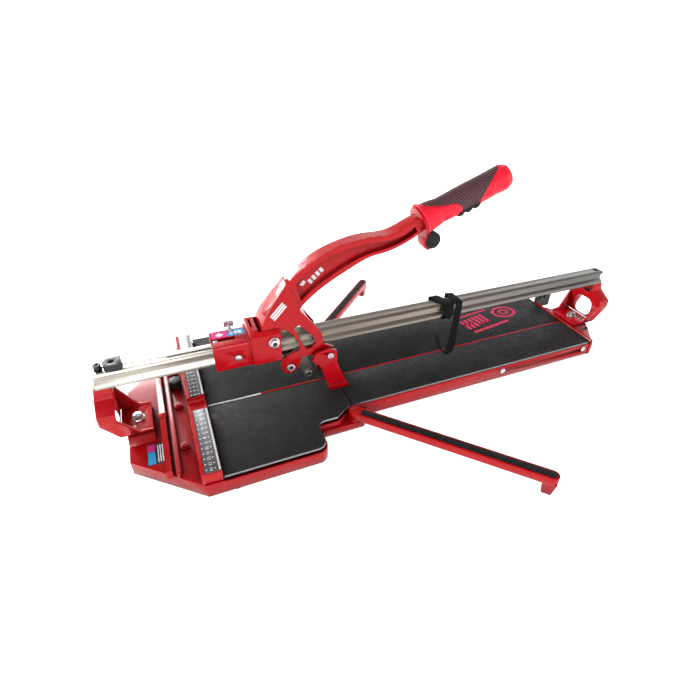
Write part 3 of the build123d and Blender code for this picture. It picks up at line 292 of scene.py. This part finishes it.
MATERIALS = {
    "red_paint": powder_coat("red_paint", RED),
    "deck_red": powder_coat("deck_red", scaled(RED, 0.9), 0.34),
    "steel": brushed_steel("steel", (0.25, 0.225, 0.20), 0.38),
    "rail_steel": rail_steel(),
    "strip_steel": brushed_steel("strip_steel", (0.70, 0.69, 0.66), 0.28),
    "zinc": bright_zinc("zinc", (0.66, 0.66, 0.67)),
    "black_oxide": bright_zinc("black_oxide", (0.045, 0.045, 0.05), 0.36),
    "board_metal": brushed_steel("board_metal", (0.34, 0.35, 0.36), 0.40),
    "mat_rubber": mat_rubber(),
    "black_rubber": moulded("black_rubber", (0.008, 0.008, 0.009), 0.6),
    "rule_steel": brushed_steel("rule_steel", (0.15, 0.155, 0.165), 0.45, (30, 1, 30)),
    "grip_red": moulded("grip_red", BRIGHT_RED, 0.34, relief=0.03),
    "grip_black": crosshatch("grip_black", (0.020, 0.020, 0.022)),
    "nylon": moulded("nylon", (0.60, 0.58, 0.52), 0.45),
    "carbide": brushed_steel("carbide", (0.45, 0.45, 0.47), 0.22, (30, 1, 30)),
    "webbing": weave("webbing", (0.006, 0.006, 0.007)),
    "grey_plate": powder_coat("grey_plate", (0.03, 0.031, 0.033), 0.46),
    "black_plastic": moulded("black_plastic", (0.025, 0.025, 0.027), 0.42),
    "white_print": moulded("white_print", (0.78, 0.78, 0.78), 0.5, relief=0.01),
    "dark_print": moulded("dark_print", (0.02, 0.02, 0.022), 0.5, relief=0.01),
    "label_cyan": moulded("label_cyan", (0.02, 0.32, 0.62), 0.3, relief=0.01),
    "label_magenta": moulded("label_magenta", (0.60, 0.03, 0.22), 0.3, relief=0.01),
    "label_silver": moulded("label_silver", (0.55, 0.57, 0.60), 0.3, relief=0.01),
    "mat_print": moulded("mat_print", (0.70, 0.030, 0.10), 0.6, relief=0.02),
}

# CAD nodes whose finish differs from the one their record slot names.
NODE_FINISH = {
    "steel_strip": "strip_steel",
    "fence_screws": "red_paint",
    "bracket_screws": "black_oxide",
    "rail": "rail_steel",
    "arm_bolts": "red_paint",
    "front_casting": "deck_red",
}

# Rounding of the CAD nodes' edges, in millimetres.
EDGE_ROUND = {
    "front_casting": 1.0,
    "rear_channel": 0.8,
    "rear_casting": 1.0,
    "front_post": 1.6,
    "rear_post": 1.6,
    "fence_bar": 0.7,
    "carriage_housing": 1.1,
    "lever_casting": 1.4,
    "breaker_foot": 1.2,
    "arm_near": 1.0,
    "arm_far": 1.0,
    "arm_pad_near": 0.5,
    "arm_pad_far": 0.5,
    "rail": 0.4,
    "wheel_holder": 0.8,
    "stop_block": 0.8,
    "front_mat_near": 0.4,
    "front_mat_far": 0.4,
    "rear_mat_near": 0.4,
    "rear_mat_far": 0.4,
    "front_plate_near": 0.5,
    "front_plate_far": 0.5,
    "rear_plate_near": 0.5,
    "rear_plate_far": 0.5,
    "lock_knob": 1.0,
    "guard_bumper": 2.0,
}
DEFAULT_ROUND = 0.3


def round_edges(piece, radius_mm):
    """Welds split vertices and rounds the sharp edges."""
    weld = piece.modifiers.new("weld", "WELD")
    weld.merge_threshold = 0.002 * MM
    bevel = piece.modifiers.new("round", "BEVEL")
    bevel.width = radius_mm * MM
    bevel.segments = 3
    bevel.limit_method = "ANGLE"
    bevel.angle_limit = math.radians(32)
    bevel.harden_normals = True
    piece.data.shade_smooth()


def dress_cad_nodes():
    """Gives every CAD node its finish and soft edges."""
    slots = {s["node"]: s["material_slot"] for s in frame["record"]["subparts"]}
    for name, node in frame["nodes"].items():
        finish = MATERIALS[NODE_FINISH.get(name, slots[name])]
        node.data.materials.clear()
        node.data.materials.append(finish)
        round_edges(node, EDGE_ROUND.get(name, DEFAULT_ROUND))


# ---------------------------------------------------------------- pieces


class Builder:
    """Vertices and faces of one piece while it is made."""

    def __init__(self):
        self.mesh = bmesh.new()

    def loop(self, points):
        """Adds vertices and returns them."""
        return [self.mesh.verts.new(p) for p in points]

    def skin(self, loops, capped=True):
        """Joins equal closed rings of vertices side by side, and caps both ends."""
        for first, second in zip(loops, loops[1:]):
            for k in range(len(first)):
                n = (k + 1) % len(first)
                self.mesh.faces.new((first[k], first[n], second[n], second[k]))
        if capped:
            self.mesh.faces.new(list(reversed(loops[0])))
            self.mesh.faces.new(loops[-1])

    def prism(self, outline, low, high, place):
        """A plate: outline points lifted from low to high, put in place by a function."""
        self.skin([self.loop([place(*p, h) for p in outline]) for h in (low, high)])

    def done(self, name, material, body, slot, smooth=True):
        """Turns the mesh into a piece that rides on a body."""
        bmesh.ops.recalc_face_normals(self.mesh, faces=self.mesh.faces)
        data = bpy.data.meshes.new(name)
        self.mesh.to_mesh(data)
        self.mesh.free()
        data.materials.append(MATERIALS[material])
        piece = bpy.data.objects.new(name, data)
        bpy.context.scene.collection.objects.link(piece)
        if smooth:
            data.shade_smooth()
        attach(piece, body)
        return piece


def rounded(x0, x1, y0, y1, radius):
    """Outline of a rectangle with round corners."""
    steps = 4
    points = []
    corners = ((x1, y1, 0), (x0, y1, 90), (x0, y0, 180), (x1, y0, 270))
    for x, y, start in corners:
        cx = x - radius if start in (0, 270) else x + radius
        cy = y - radius if start in (0, 90) else y + radius
        for k in range(steps + 1):
            angle = math.radians(start + 90 * k / steps)
            points.append((cx + radius * math.cos(angle), cy + radius * math.sin(angle)))
    return points


def circle(x, y, radius, steps):
    """Outline of a circle."""
    turns = [2 * math.pi * k / steps for k in range(steps)]
    return [(x + radius * math.cos(a), y + radius * math.sin(a)) for a in turns]


def flat_at(z):
    """Puts a flat outline at one height."""
    return lambda x, y, h: (x * MM, y * MM, (z + h) * MM)


def facing(y_face, outward):
    """Puts a plate's outline in XZ, lifted off a face that looks along Y."""
    return lambda x, z, h: (x * MM, (y_face + outward * h) * MM, z * MM)


def digits(name, rows, size_mm, turn_deg, z):
    """Raised numbers, joined into one mesh."""
    build = Builder()
    turn = Matrix.Rotation(math.radians(turn_deg), 4, "Z")
    for text, x, y in rows:
        curve = bpy.data.curves.new(name + "_text", "FONT")
        curve.body = text
        curve.size = size_mm * MM
        curve.align_x = "CENTER"
        curve.align_y = "CENTER"
        curve.extrude = 0.04 * MM
        curve.resolution_u = 3
        letters = bpy.data.objects.new(name + "_text", curve)
        data = bpy.data.meshes.new_from_object(letters)
        data.transform(Matrix.Translation((x * MM, y * MM, z * MM)) @ turn)
        build.mesh.from_mesh(data)
        bpy.data.objects.remove(letters)
        bpy.data.curves.remove(curve)
        bpy.data.meshes.remove(data)
    return build


# ---------------------------------------------------------------- marks and labels


# Marks of the rule, in millimetres: distances in from its inner edge, and sizes.
TICK_IN = 0.3
TICK_HALF_WIDTH = 0.14
EDGE_BAND_IN = (0.4, 2.8)
DOTS_IN = (7.2, 18.3)
DOT_RADIUS = 1.0
NUMBERS_IN = 12.5
NUMBER_SIZE = 6.6


def tick_length(mm):
    """Longer ticks at whole and half centimetres."""
    if mm % 10 == 0:
        return 5.0
    return 3.6 if mm % 5 == 0 else 2.3


def ruler_marks(side, half):
    """Millimetre ticks, centimetre dots and numbers on one half of the rule."""
    low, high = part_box(f"ruler_{half}")
    top = high.z / MM + 0.01
    ends = (abs(low.y) / MM, abs(high.y) / MM)
    first, last = min(ends) + 2, max(ends) - 3
    edge = high.x / MM
    ticks = Builder()
    for mm in range(int(first), int(last) + 1):
        x0, x1 = edge - TICK_IN - tick_length(mm), edge - TICK_IN
        y0, y1 = side * mm - TICK_HALF_WIDTH, side * mm + TICK_HALF_WIDTH
        ticks.prism([(x0, y0), (x1, y0), (x1, y1), (x0, y1)], 0, 0.06, flat_at(top))
    ticks.done(f"ruler_ticks_{half}", "dark_print", "base", "rule_steel", smooth=False)
    band = Builder()
    y0, y1 = sorted((side * (first - 1), side * (last + 2)))
    outline = rounded(edge - EDGE_BAND_IN[1], edge - EDGE_BAND_IN[0], y0, y1, 0.3)
    band.prism(outline, -0.03, 0.02, flat_at(top))
    band.done(f"ruler_edge_band_{half}", "white_print", "base", "rule_steel", smooth=False)
    dots = Builder()
    numbers = []
    for cm in range(int(first // 10) + 1, int(last // 10) + 1):
        y = side * cm * 10
        for inset in DOTS_IN:
            dots.prism(circle(edge - inset, y, DOT_RADIUS, 12), 0, 0.08, flat_at(top))
        numbers.append((str(cm), edge - NUMBERS_IN, y))
    dots.done(f"ruler_dots_{half}", "white_print", "base", "rule_steel", smooth=False)
    made = digits(f"ruler_numbers_{half}", numbers, NUMBER_SIZE, -90, top + 0.05)
    made.done(f"ruler_numbers_{half}", "white_print", "base", "rule_steel", smooth=False)


def surface(node, start, direction):
    """Where a ray meets a CAD node, in metres."""
    bpy.context.view_layer.update()
    hit, place = frame["nodes"][node].ray_cast(Vector(start), Vector(direction))[:2]
    return place if hit else Vector(start)


# Where the rays that find a face start, in metres: above the faces, and beside the object.
RAY_HEIGHT = 0.3
RAY_SIDE = -0.5


def on_top(node):
    """Puts a flat outline on the node's upper face."""
    def place(x, y, h):
        point = surface(node, (x * MM, y * MM, RAY_HEIGHT), (0, 0, -1))
        return (point.x, point.y, point.z + h * MM)
    return place


def on_near_face(node):
    """Puts an XZ outline on the node's near face."""
    def place(x, z, h):
        point = surface(node, (x * MM, RAY_SIDE, z * MM), (0, 1, 0))
        return (point.x, point.y - h * MM, point.z)
    return place


def leaning(corner, along, across, spans):
    """Outlines of bars between shares of a slanted box: (from, to) along it and across it."""
    def point(a, c):
        x = corner[0] + along[0] * a + across[0] * c
        return (x, corner[1] + along[1] * a + across[1] * c)
    corners = [((a0, c0), (a1, c0), (a1, c1), (a0, c1)) for a0, a1, c0, c1 in spans]
    return [[point(a, c) for a, c in four] for four in corners]


def dashes(count, width):
    """Spans of equal dashes side by side in a slanted box, of a width given as a share of it."""
    return [(k / count, k / count + width, 0.0, 1.0) for k in range(count)]


# Lift of a print on its face, and of a second print on the first, in millimetres.
PRINT_LIFT = 0.08
OVERPRINT_LIFT = 0.16
# Thickness of a print below and above its lift.
PRINT_BELOW = 0.06
PRINT_ABOVE = 0.05


def label(name, outlines, place, material, body, slot, lift=PRINT_LIFT):
    """Thin printed shapes that lie on a face."""
    build = Builder()
    for outline in outlines:
        build.prism(outline, lift - PRINT_BELOW, lift + PRINT_ABOVE, place)
    build.done(name, material, body, slot, smooth=False)


def housing_label():
    """Two colour fields on the carriage, with a diamond and three blocks on them."""
    left, middle, right, near, far = -290.5, -267.25, -244.0, 2.0, 18.5
    seam = 0.25
    place = on_top("carriage_housing")
    fields = (
        ("housing_label_left", left, middle - seam, "label_magenta"),
        ("housing_label_right", middle + seam, right, "label_cyan"),
    )
    for name, x0, x1, color in fields:
        field = [rounded(x0, x1, near, far, 0.8)]
        label(name, field, place, color, "carriage", "red_paint")
    marks = [[(-285, 10), (-279, 15), (-273, 10), (-279, 5)]]
    marks = marks + [rounded(x, x + 4.6, 6.5, 14.0, 0.8) for x in (-264.0, -258.0, -252.0)]
    white = "white_print"
    label("housing_label_marks", marks, place, white, "carriage", "red_paint", OVERPRINT_LIFT)


def lever_label():
    """Three slanted bars on the lever's fork, and a small mark with four blocks on its beam."""
    place = on_near_face("lever_casting")
    thirds = [(0.05, 0.95, k / 3 + 0.03, k / 3 + 0.24) for k in range(3)]
    bars = leaning((-210, 184), (22, 20), (7, -8), thirds)
    label("lever_label_bars", bars, place, "white_print", "lever", "red_paint")
    mark = [[(-159, 219), (-154, 217), (-149, 222), (-153, 226)]]
    mark = mark + leaning((-147, 224), (23, 20), (5, -6), dashes(4, 0.16))
    label("lever_web_mark", mark, place, "label_silver", "lever", "red_paint")


def deck_label():
    """Dark label on the deck, with two colour fields and three lines."""
    lines = [rounded(x, x + 1.4, -82, -48, 0.5) for x in (-394.0, -391.0, -388.0)]
    prints = (
        ("deck_label_field", [rounded(-408, -385, -85, -44, 1)], "dark_print", PRINT_LIFT),
        ("deck_label_cyan", [rounded(-407, -397, -84, -60, 1)], "label_cyan", OVERPRINT_LIFT),
        ("deck_label_magenta", [rounded(-407, -397, -59, -45, 1)], "label_magenta", OVERPRINT_LIFT),
        ("deck_label_lines", lines, "white_print", OVERPRINT_LIFT),
    )
    place = on_top("front_casting")
    for name, outlines, color, lift in prints:
        label(name, outlines, place, color, "base", "red_paint", lift)


def bolt_sockets():
    """Dark hexagons on the bright bolt heads, near and far: painted shade standing in for their
    hexagon sockets.
    """
    rows = (
        ("pivot_bolt", "carriage", 3.6, "pivot_bolt_socket_shade"),
        ("holder_bolt", "lever", 3.4, "holder_bolt_socket_shade"),
        ("wheel_axle", "lever", 3.2, "wheel_axle_socket_shade"),
    )
    for node, body, radius, name in rows:
        low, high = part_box(node)
        x, z = (low.x + high.x) / 2 / MM, (low.z + high.z) / 2 / MM
        # Painted shade: a dark hexagon on each face of the head where its socket would lie in
        # shade.
        build = Builder()
        for side, face in ((-1, low.y / MM), (1, high.y / MM)):
            build.prism(circle(x, z, radius, 6), -1.2, 0.06, facing(face, side))
        build.done(name, "dark_print", body, "black_oxide", smooth=False)


def rail_slot():
    """Dark sheet on the rail's top over its groove, reaching a little over the rim: painted shade
    of the groove.
    """
    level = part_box("rail")[1].z / MM + 0.03
    outline = [rounded(-354, -200, -4.7, -0.9, 0.6)]
    # Painted shade: a dark sheet where the groove lies in shade.
    label("rail_slot_painted_shade", outline, flat_at(level), "dark_print", "base", "steel")


# ---------------------------------------------------------------- grip


# Outer radius of the grip along its length, both in millimetres.
GRIP_PROFILE = (
    (0, 22.5),
    (24, 19.9),
    (30, 18.5),
    (75, 19.3),
    (117, 19.1),
    (124, 18.7),
    (132, 19.0),
    (144, 19.6),
    (152, 17.0),
)


def grip_radius(s):
    """Radius of the grip's outside at a distance from the guard."""
    for (s0, r0), (s1, r1) in zip(GRIP_PROFILE, GRIP_PROFILE[1:]):
        if s <= s1:
            return r0 + (r1 - r0) * (s - s0) / (s1 - s0)
    return GRIP_PROFILE[-1][1]


def grip_point(s, angle_deg, lift):
    """A point on the grip: distance, angle from the top towards the near side, and lift."""
    rise, angle = math.radians(GRIP_RISE_DEG), math.radians(angle_deg)
    along = Vector((math.cos(rise), 0, math.sin(rise)))
    up = Vector((-math.sin(rise), 0, math.cos(rise)))
    near = Vector((0, -1, 0))
    radius = (grip_radius(s) + lift) * MM
    middle = GRIP_START + along * s * MM
    return middle + up * radius * math.cos(angle) + near * radius * math.sin(angle)


# Depth of the panels' hidden side below the grip's outside, in millimetres.
GRIP_PANEL_ROOT = -0.8


def grip_patch(build, rows, lift):
    """A raised panel on the grip between angles given at distances, evened between the rows."""
    columns, steps = 12, 5
    loops = []
    for (s0, a0, b0), (s1, a1, b1) in zip(rows, rows[1:]):
        for k in range(steps):
            t = k / steps
            loops.append((s0 + (s1 - s0) * t, a0 + (a1 - a0) * t, b0 + (b1 - b0) * t))
    loops.append(rows[-1])
    rings = []
    for s, a, b in loops:
        angles = [a + (b - a) * k / columns for k in range(columns + 1)]
        outer = [grip_point(s, angle, lift) for angle in angles]
        inner = [grip_point(s, angle, GRIP_PANEL_ROOT) for angle in reversed(angles)]
        rings.append(build.loop(outer + inner))
    build.skin(rings)


# Red panels on one side of the grip: distance, and the angles where each row starts and ends.
GRIP_TONGUE = (
    (2, 18, 179),
    (12, 26, 179),
    (24, 40, 179),
    (34, 50, 174),
    (45, 60, 166),
    (53, 70, 155),
    (58, 82, 142),
    (61, 98, 124),
)
GRIP_END_PANEL = (
    (146, 8, 179),
    (136, 18, 179),
    (126, 34, 179),
    (117, 52, 177),
    (108, 70, 172),
    (100, 88, 165),
    (94, 106, 156),
    (91.5, 120, 145),
)


def grip_red_panels():
    """Red tongue from the guard and red end panel, on both sides of the sleeve."""
    build = Builder()
    for rows in (GRIP_TONGUE, GRIP_END_PANEL):
        grip_patch(build, rows, 0.35)
        grip_patch(build, [(s, -a, -b) for s, a, b in rows], 0.35)
    build.done("grip_red_panels", "grip_red", "lever", "grip_red")


def grip_top_inlays():
    """Black points of the sleeve that run out over the red at its two ends."""
    build = Builder()
    grip_patch(build, [(8, -7, 7), (12, -20, 20), (20, -32, 32), (31, -44, 44)], 0.5)
    grip_patch(build, [(118, -48, 48), (128, -30, 30), (137, -15, 15), (140, -5, 5)], 0.5)
    build.done("grip_top_inlays", "grip_black", "lever", "grip_black")


def finger_ridge(build, middle):
    """One soft ridge across the underside of the grip, with its middle at a distance along it."""
    half_length, height, first_deg, arc_deg = 7, 4.6, 122, 116
    columns, steps = 14, 8
    angles = [first_deg + arc_deg * m / columns for m in range(columns + 1)]
    arches = [math.sin(math.pi * m / columns) ** 0.5 for m in range(columns + 1)]
    rings = []
    for n in range(steps + 1):
        s = middle - half_length + 2 * half_length * n / steps
        lift = height * math.sin(math.pi * n / steps)
        outer = [grip_point(s, a, 0.1 + lift * arch) for a, arch in zip(angles, arches)]
        inner = [grip_point(s, a, -1.0) for a in reversed(angles)]
        rings.append(build.loop(outer + inner))
    build.skin(rings)


def grip_finger_ridges():
    """Three finger ridges under the grip."""
    build = Builder()
    for middle in (62, 76, 90):
        finger_ridge(build, middle)
    build.done("grip_finger_ridges", "black_rubber", "lever", "grip_black")


def grip_collar_lip():
    """Rolled lip round the mouth of the grip."""
    around, steps = 40, 12
    build = Builder()
    rings = []
    for n in range(steps):
        turn = 2 * math.pi * n / steps
        s, lift = 1.2 + 1.9 * math.cos(turn), 0.8 + 2.0 * math.sin(turn)
        rings.append(build.loop([grip_point(s, 360 * k / around, lift) for k in range(around)]))
    build.skin(rings + [rings[0]], capped=False)
    build.done("grip_collar_lip", "grip_red", "lever", "grip_red")


# ---------------------------------------------------------------- webbing


def smooth_path(points):
    """Rows of numbers, eased through by a Catmull-Rom spline."""
    steps = 6
    last = len(points) - 1
    made = []
    for k in range(last):
        p0, p1, p2, p3 = [Vector(points[max(0, min(last, k + n))]) for n in (-1, 0, 1, 2)]
        for step in range(steps):
            t = step / steps
            bend = 2 * p0 - 5 * p1 + 4 * p2 - p3
            twist = 3 * p1 - p0 - 3 * p2 + p3
            made.append(0.5 * (2 * p1 + (p2 - p0) * t + bend * t * t + twist * t ** 3))
    return made + [Vector(points[-1])]


def ribbon(build, rows, width_mm, thickness_mm):
    """Flat webbing along rows of x, y, z in millimetres and a turn of its width in degrees.

    The turn goes from X towards -Y. Returns the length of the middle line in metres.
    """
    path = smooth_path(rows)
    centers = [row.to_3d() for row in path]
    rings, length = [], 0.0
    for k, (row, center) in enumerate(zip(path, centers)):
        before, after = centers[max(k - 1, 0)], centers[min(k + 1, len(path) - 1)]
        ahead = (after - before).normalized()
        turn = math.radians(row[3])
        across = Vector((math.cos(turn), -math.sin(turn), 0))
        across = (across - ahead * across.dot(ahead)).normalized()
        face = across.cross(ahead)
        half, thick = across * width_mm / 2, face * thickness_mm / 2
        shoulder = half * 0.94
        ring = [center - half, center - shoulder + thick, center + shoulder + thick]
        ring = ring + [center + half, center + shoulder - thick, center - shoulder - thick]
        rings.append(build.loop([p * MM for p in ring]))
        length = length + (center - before).length * MM
    build.skin(rings)
    return length


# Routes of the webbing round the rail: x, y, z in millimetres and the turn of its width.
STRAP_TURN = (
    (84, 0, 117.4, 0),
    (84, 15, 117.4, 0),
    (84, 16.6, 121, 0),
    (83, 16.6, 140, 0),
    (84, 15, 143.8, 0),
    (90, 0, 144, 0),
    (96, -15, 143.8, 0),
    (97, -16.8, 140, 0),
    (96, -16.8, 121, 0),
    (93, -15, 117.4, 0),
    (88, -3, 117.2, 0),
)
STRAP_TAIL = (
    (113, -12, 117.3, 0),
    (113, 14, 117.3, 0),
    (113, 16.6, 121, 0),
    (114, 16.6, 140, 0),
    (115, 15, 143.8, 0),
    (115, 0, 144, 0),
    (115, -15, 143.8, 0),
    (115.5, -17, 139, 0),
    (114.5, -18, 120, 2),
    (112.5, -19.5, 98, 4),
    (110, -22, 78, 10),
    (107.5, -24, 65, 26),
    (103.5, -25, 55, 60),
    (96, -25.5, 50, 82),
    (87, -25.5, 57, 88),
    (78, -25.5, 73, 90),
    (72, -25.5, 91, 90),
)
STRAP_THICKNESS = 1.4


def webbing_strap():
    """Webbing tied over the rail, with a tail that hangs and hooks up at its end."""
    build = Builder()
    length = ribbon(build, STRAP_TURN, 17.0, STRAP_THICKNESS)
    length = length + ribbon(build, STRAP_TAIL, 13.5, STRAP_THICKNESS)
    piece = build.done("webbing_strap", "webbing", "base", "webbing")
    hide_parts("tie_strap")
    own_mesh(piece)


# ---------------------------------------------------------------- print on the mat


def mat_print_bars():
    """Faded pink print on the far rear board: block bars and two rows of dashes."""
    word = ((197, 40), (62, 12), (-6, 32))
    bars = leaning(*word, dashes(6, 0.10))
    bars = bars + leaning(*word, [(0.02, 0.40, 0.44, 0.60), (0.52, 0.90, 0.0, 0.16)])
    bars = bars + leaning((192, 82), (80, 10), (0, 6), dashes(9, 0.08))
    bars = bars + leaning((200, 25), (92, 14), (0, 7), dashes(12, 0.06))
    top = flat_at(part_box("rear_mat_far")[1].z / MM)
    label("mat_print_bars", bars, top, "mat_print", "base", "mat_rubber", 0.02)


def mat_print_ring():
    """Faded pink rings beside the bars: an oval ring round a smaller one."""
    x0, y0 = 302, 74
    wide, deep = 0.95, 0.72
    top = flat_at(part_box("rear_mat_far")[1].z / MM)
    build = Builder()
    for inner, outer in ((22.0, 29.0), (7.0, 13.0)):
        loops = []
        for height, radius in ((-0.04, inner), (0.05, inner), (0.05, outer), (-0.04, outer)):
            ring = circle(0, 0, radius, 40)
            loops.append(build.loop([top(x0 + x * wide, y0 + y * deep, height) for x, y in ring]))
        build.skin(loops + [loops[0]], capped=False)
    build.done("mat_print_ring", "mat_print", "base", "mat_rubber", smooth=False)


# ---------------------------------------------------------------- springs


# Steps in one turn of a coil, and sides of its round wire.
COIL_STEPS = 16
WIRE_SIDES = 6


def coil_wire(build, centers, radius, axis):
    """Round wire along points that wind about an axis."""
    turns = [2 * math.pi * n / WIRE_SIDES for n in range(WIRE_SIDES)]
    rings = []
    for k, center in enumerate(centers):
        ahead = centers[min(k + 1, len(centers) - 1)] - centers[max(k - 1, 0)]
        side = ahead.cross(axis).normalized() * radius
        up = side.cross(ahead).normalized() * radius
        rings.append(build.loop([center + side * math.cos(a) + up * math.sin(a) for a in turns]))
    build.skin(rings)


def board_coils(body, rows):
    """Real coils for the springs under one front board, four in all."""
    low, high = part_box("board_springs")
    floor, top = low.z, high.z
    radius, wire, turns = 5.3 * MM, 0.7 * MM, 6
    count = turns * COIL_STEPS
    build = Builder()
    for x in (-285.0, -195.0):
        for y in rows:
            centers = []
            for k in range(count + 1):
                angle = 2 * math.pi * k / COIL_STEPS
                height = floor + wire + (top - floor - 2 * wire) * k / count
                offset = Vector((radius * math.cos(angle), radius * math.sin(angle), height))
                centers.append(Vector((x * MM, y * MM, 0)) + offset)
            coil_wire(build, centers, wire, Vector((0, 0, 1)))
    piece = build.done(f"{body}_springs", "zinc", "base", "zinc")
    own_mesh(piece)
    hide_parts("board_springs")


def breaker_coils():
    """Torsion springs on both sides of the breaker foot, two and a half turns each."""
    low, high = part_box("breaker_spring")
    x, z = (low.x + high.x) / 2, (low.z + high.z) / 2
    start, radius, wire, spread = 21.6 * MM, 5.2 * MM, 0.6 * MM, 2.2 * MM
    count = int(2.5 * COIL_STEPS)
    build = Builder()
    for side in (-1, 1):
        centers = []
        for k in range(count + 1):
            angle = 2 * math.pi * k / COIL_STEPS
            y = side * (start + wire + spread * k / count)
            centers.append(Vector((x + radius * math.cos(angle), y, z + radius * math.sin(angle))))
        coil_wire(build, centers, wire, Vector((0, 1, 0)))
    piece = build.done("breaker_coils", "zinc", "lever", "zinc")
    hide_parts("breaker_spring")


# ---------------------------------------------------------------- stage


# Floor and walls of the studio, in metres, and the light that they give off.
FLOOR_SIZE = 46
WALL_SPAN = 44
WALL_HEIGHT = 14
STUDIO_GLOW = 0.72
WORLD_GLOW = 0.34

STAGE_MIDDLE = (0.0, 0.0, 0.1)
# Soft boxes: name, place, target and size in metres, and power in watts.
LIGHTS = (
    ("key", (-0.9, -1.3, 1.9), STAGE_MIDDLE, (0.8, 0.6), 30),
    ("back", (-0.95, 1.5, 0.72), (-0.18, 0, 0.22), (1.0, 0.5), 48),
    ("fill", (1.8, -1.1, 0.9), STAGE_MIDDLE, (0.8, 0.8), 5),
)


def area_light(name, place, target, size, watts):
    """Soft box aimed at a point."""
    data = bpy.data.lights.new(name, "AREA")
    data.shape = "RECTANGLE"
    data.size, data.size_y = size
    data.energy = watts
    light = bpy.data.objects.new(name, data)
    light.location = place
    aim = Vector(target) - Vector(place)
    light.rotation_euler = aim.to_track_quat("-Z", "Y").to_euler()
    bpy.context.scene.collection.objects.link(light)


def backdrop(material):
    """Distant pale walls round the floor, so that no horizon shows."""
    build = bmesh.new()
    bmesh.ops.create_cube(build, size=WALL_SPAN)
    for vertex in build.verts:
        vertex.co.z = 0 if vertex.co.z < 0 else WALL_HEIGHT
    level = [face for face in build.faces if abs(face.normal.z) > 0.5]
    bmesh.ops.delete(build, geom=level, context="FACES")
    data = bpy.data.meshes.new("backdrop")
    build.to_mesh(data)
    build.free()
    data.materials.append(material)
    walls = bpy.data.objects.new("backdrop", data)
    bpy.context.scene.collection.objects.link(walls)
    return walls


def set_studio():
    """Pale glowing floor and walls, with an even light from above."""
    bpy.ops.mesh.primitive_plane_add(size=FLOOR_SIZE)
    floor = bpy.context.object
    floor.name = "floor"
    look = Look("floor", (0.90, 0.90, 0.90), 0.9)
    look.shader.inputs["Emission Color"].default_value = (*WHITE, 1)
    look.shader.inputs["Emission Strength"].default_value = STUDIO_GLOW
    floor.data.materials.append(look.material)
    backdrop(look.material)
    world = bpy.data.worlds.new("studio")
    world.use_nodes = True
    world.node_tree.nodes["Background"].inputs["Color"].default_value = (*WHITE, 1)
    world.node_tree.nodes["Background"].inputs["Strength"].default_value = WORLD_GLOW
    bpy.context.scene.world = world


def set_camera():
    """Camera at the viewing angle of the reference."""
    data = bpy.data.cameras.new("camera")
    data.lens = CAMERA_LENS_MM
    data.sensor_width = CAMERA_SENSOR_MM
    data.shift_x, data.shift_y = CAMERA_SHIFT
    data.clip_start = 0.01
    data.clip_end = 1000
    camera = bpy.data.objects.new("camera", data)
    camera.location = CAMERA_PLACE
    camera.rotation_euler = [math.radians(a) for a in CAMERA_TURN_DEG]
    bpy.context.scene.collection.objects.link(camera)
    bpy.context.scene.camera = camera
    bpy.context.scene.view_settings.view_transform = "Standard"


set_studio()
for light in LIGHTS:
    area_light(*light)
set_camera()
dress_cad_nodes()
ruler_marks(-1, "near")
ruler_marks(1, "far")
housing_label()
lever_label()
deck_label()
bolt_sockets()
rail_slot()
mat_print_bars()
mat_print_ring()
board_coils("board_near", (-125.0, -40.0))
board_coils("board_far", (40.0, 165.0))
breaker_coils()
grip_red_panels()
grip_top_inlays()
grip_finger_ridges()
grip_collar_lip()
webbing_strap()
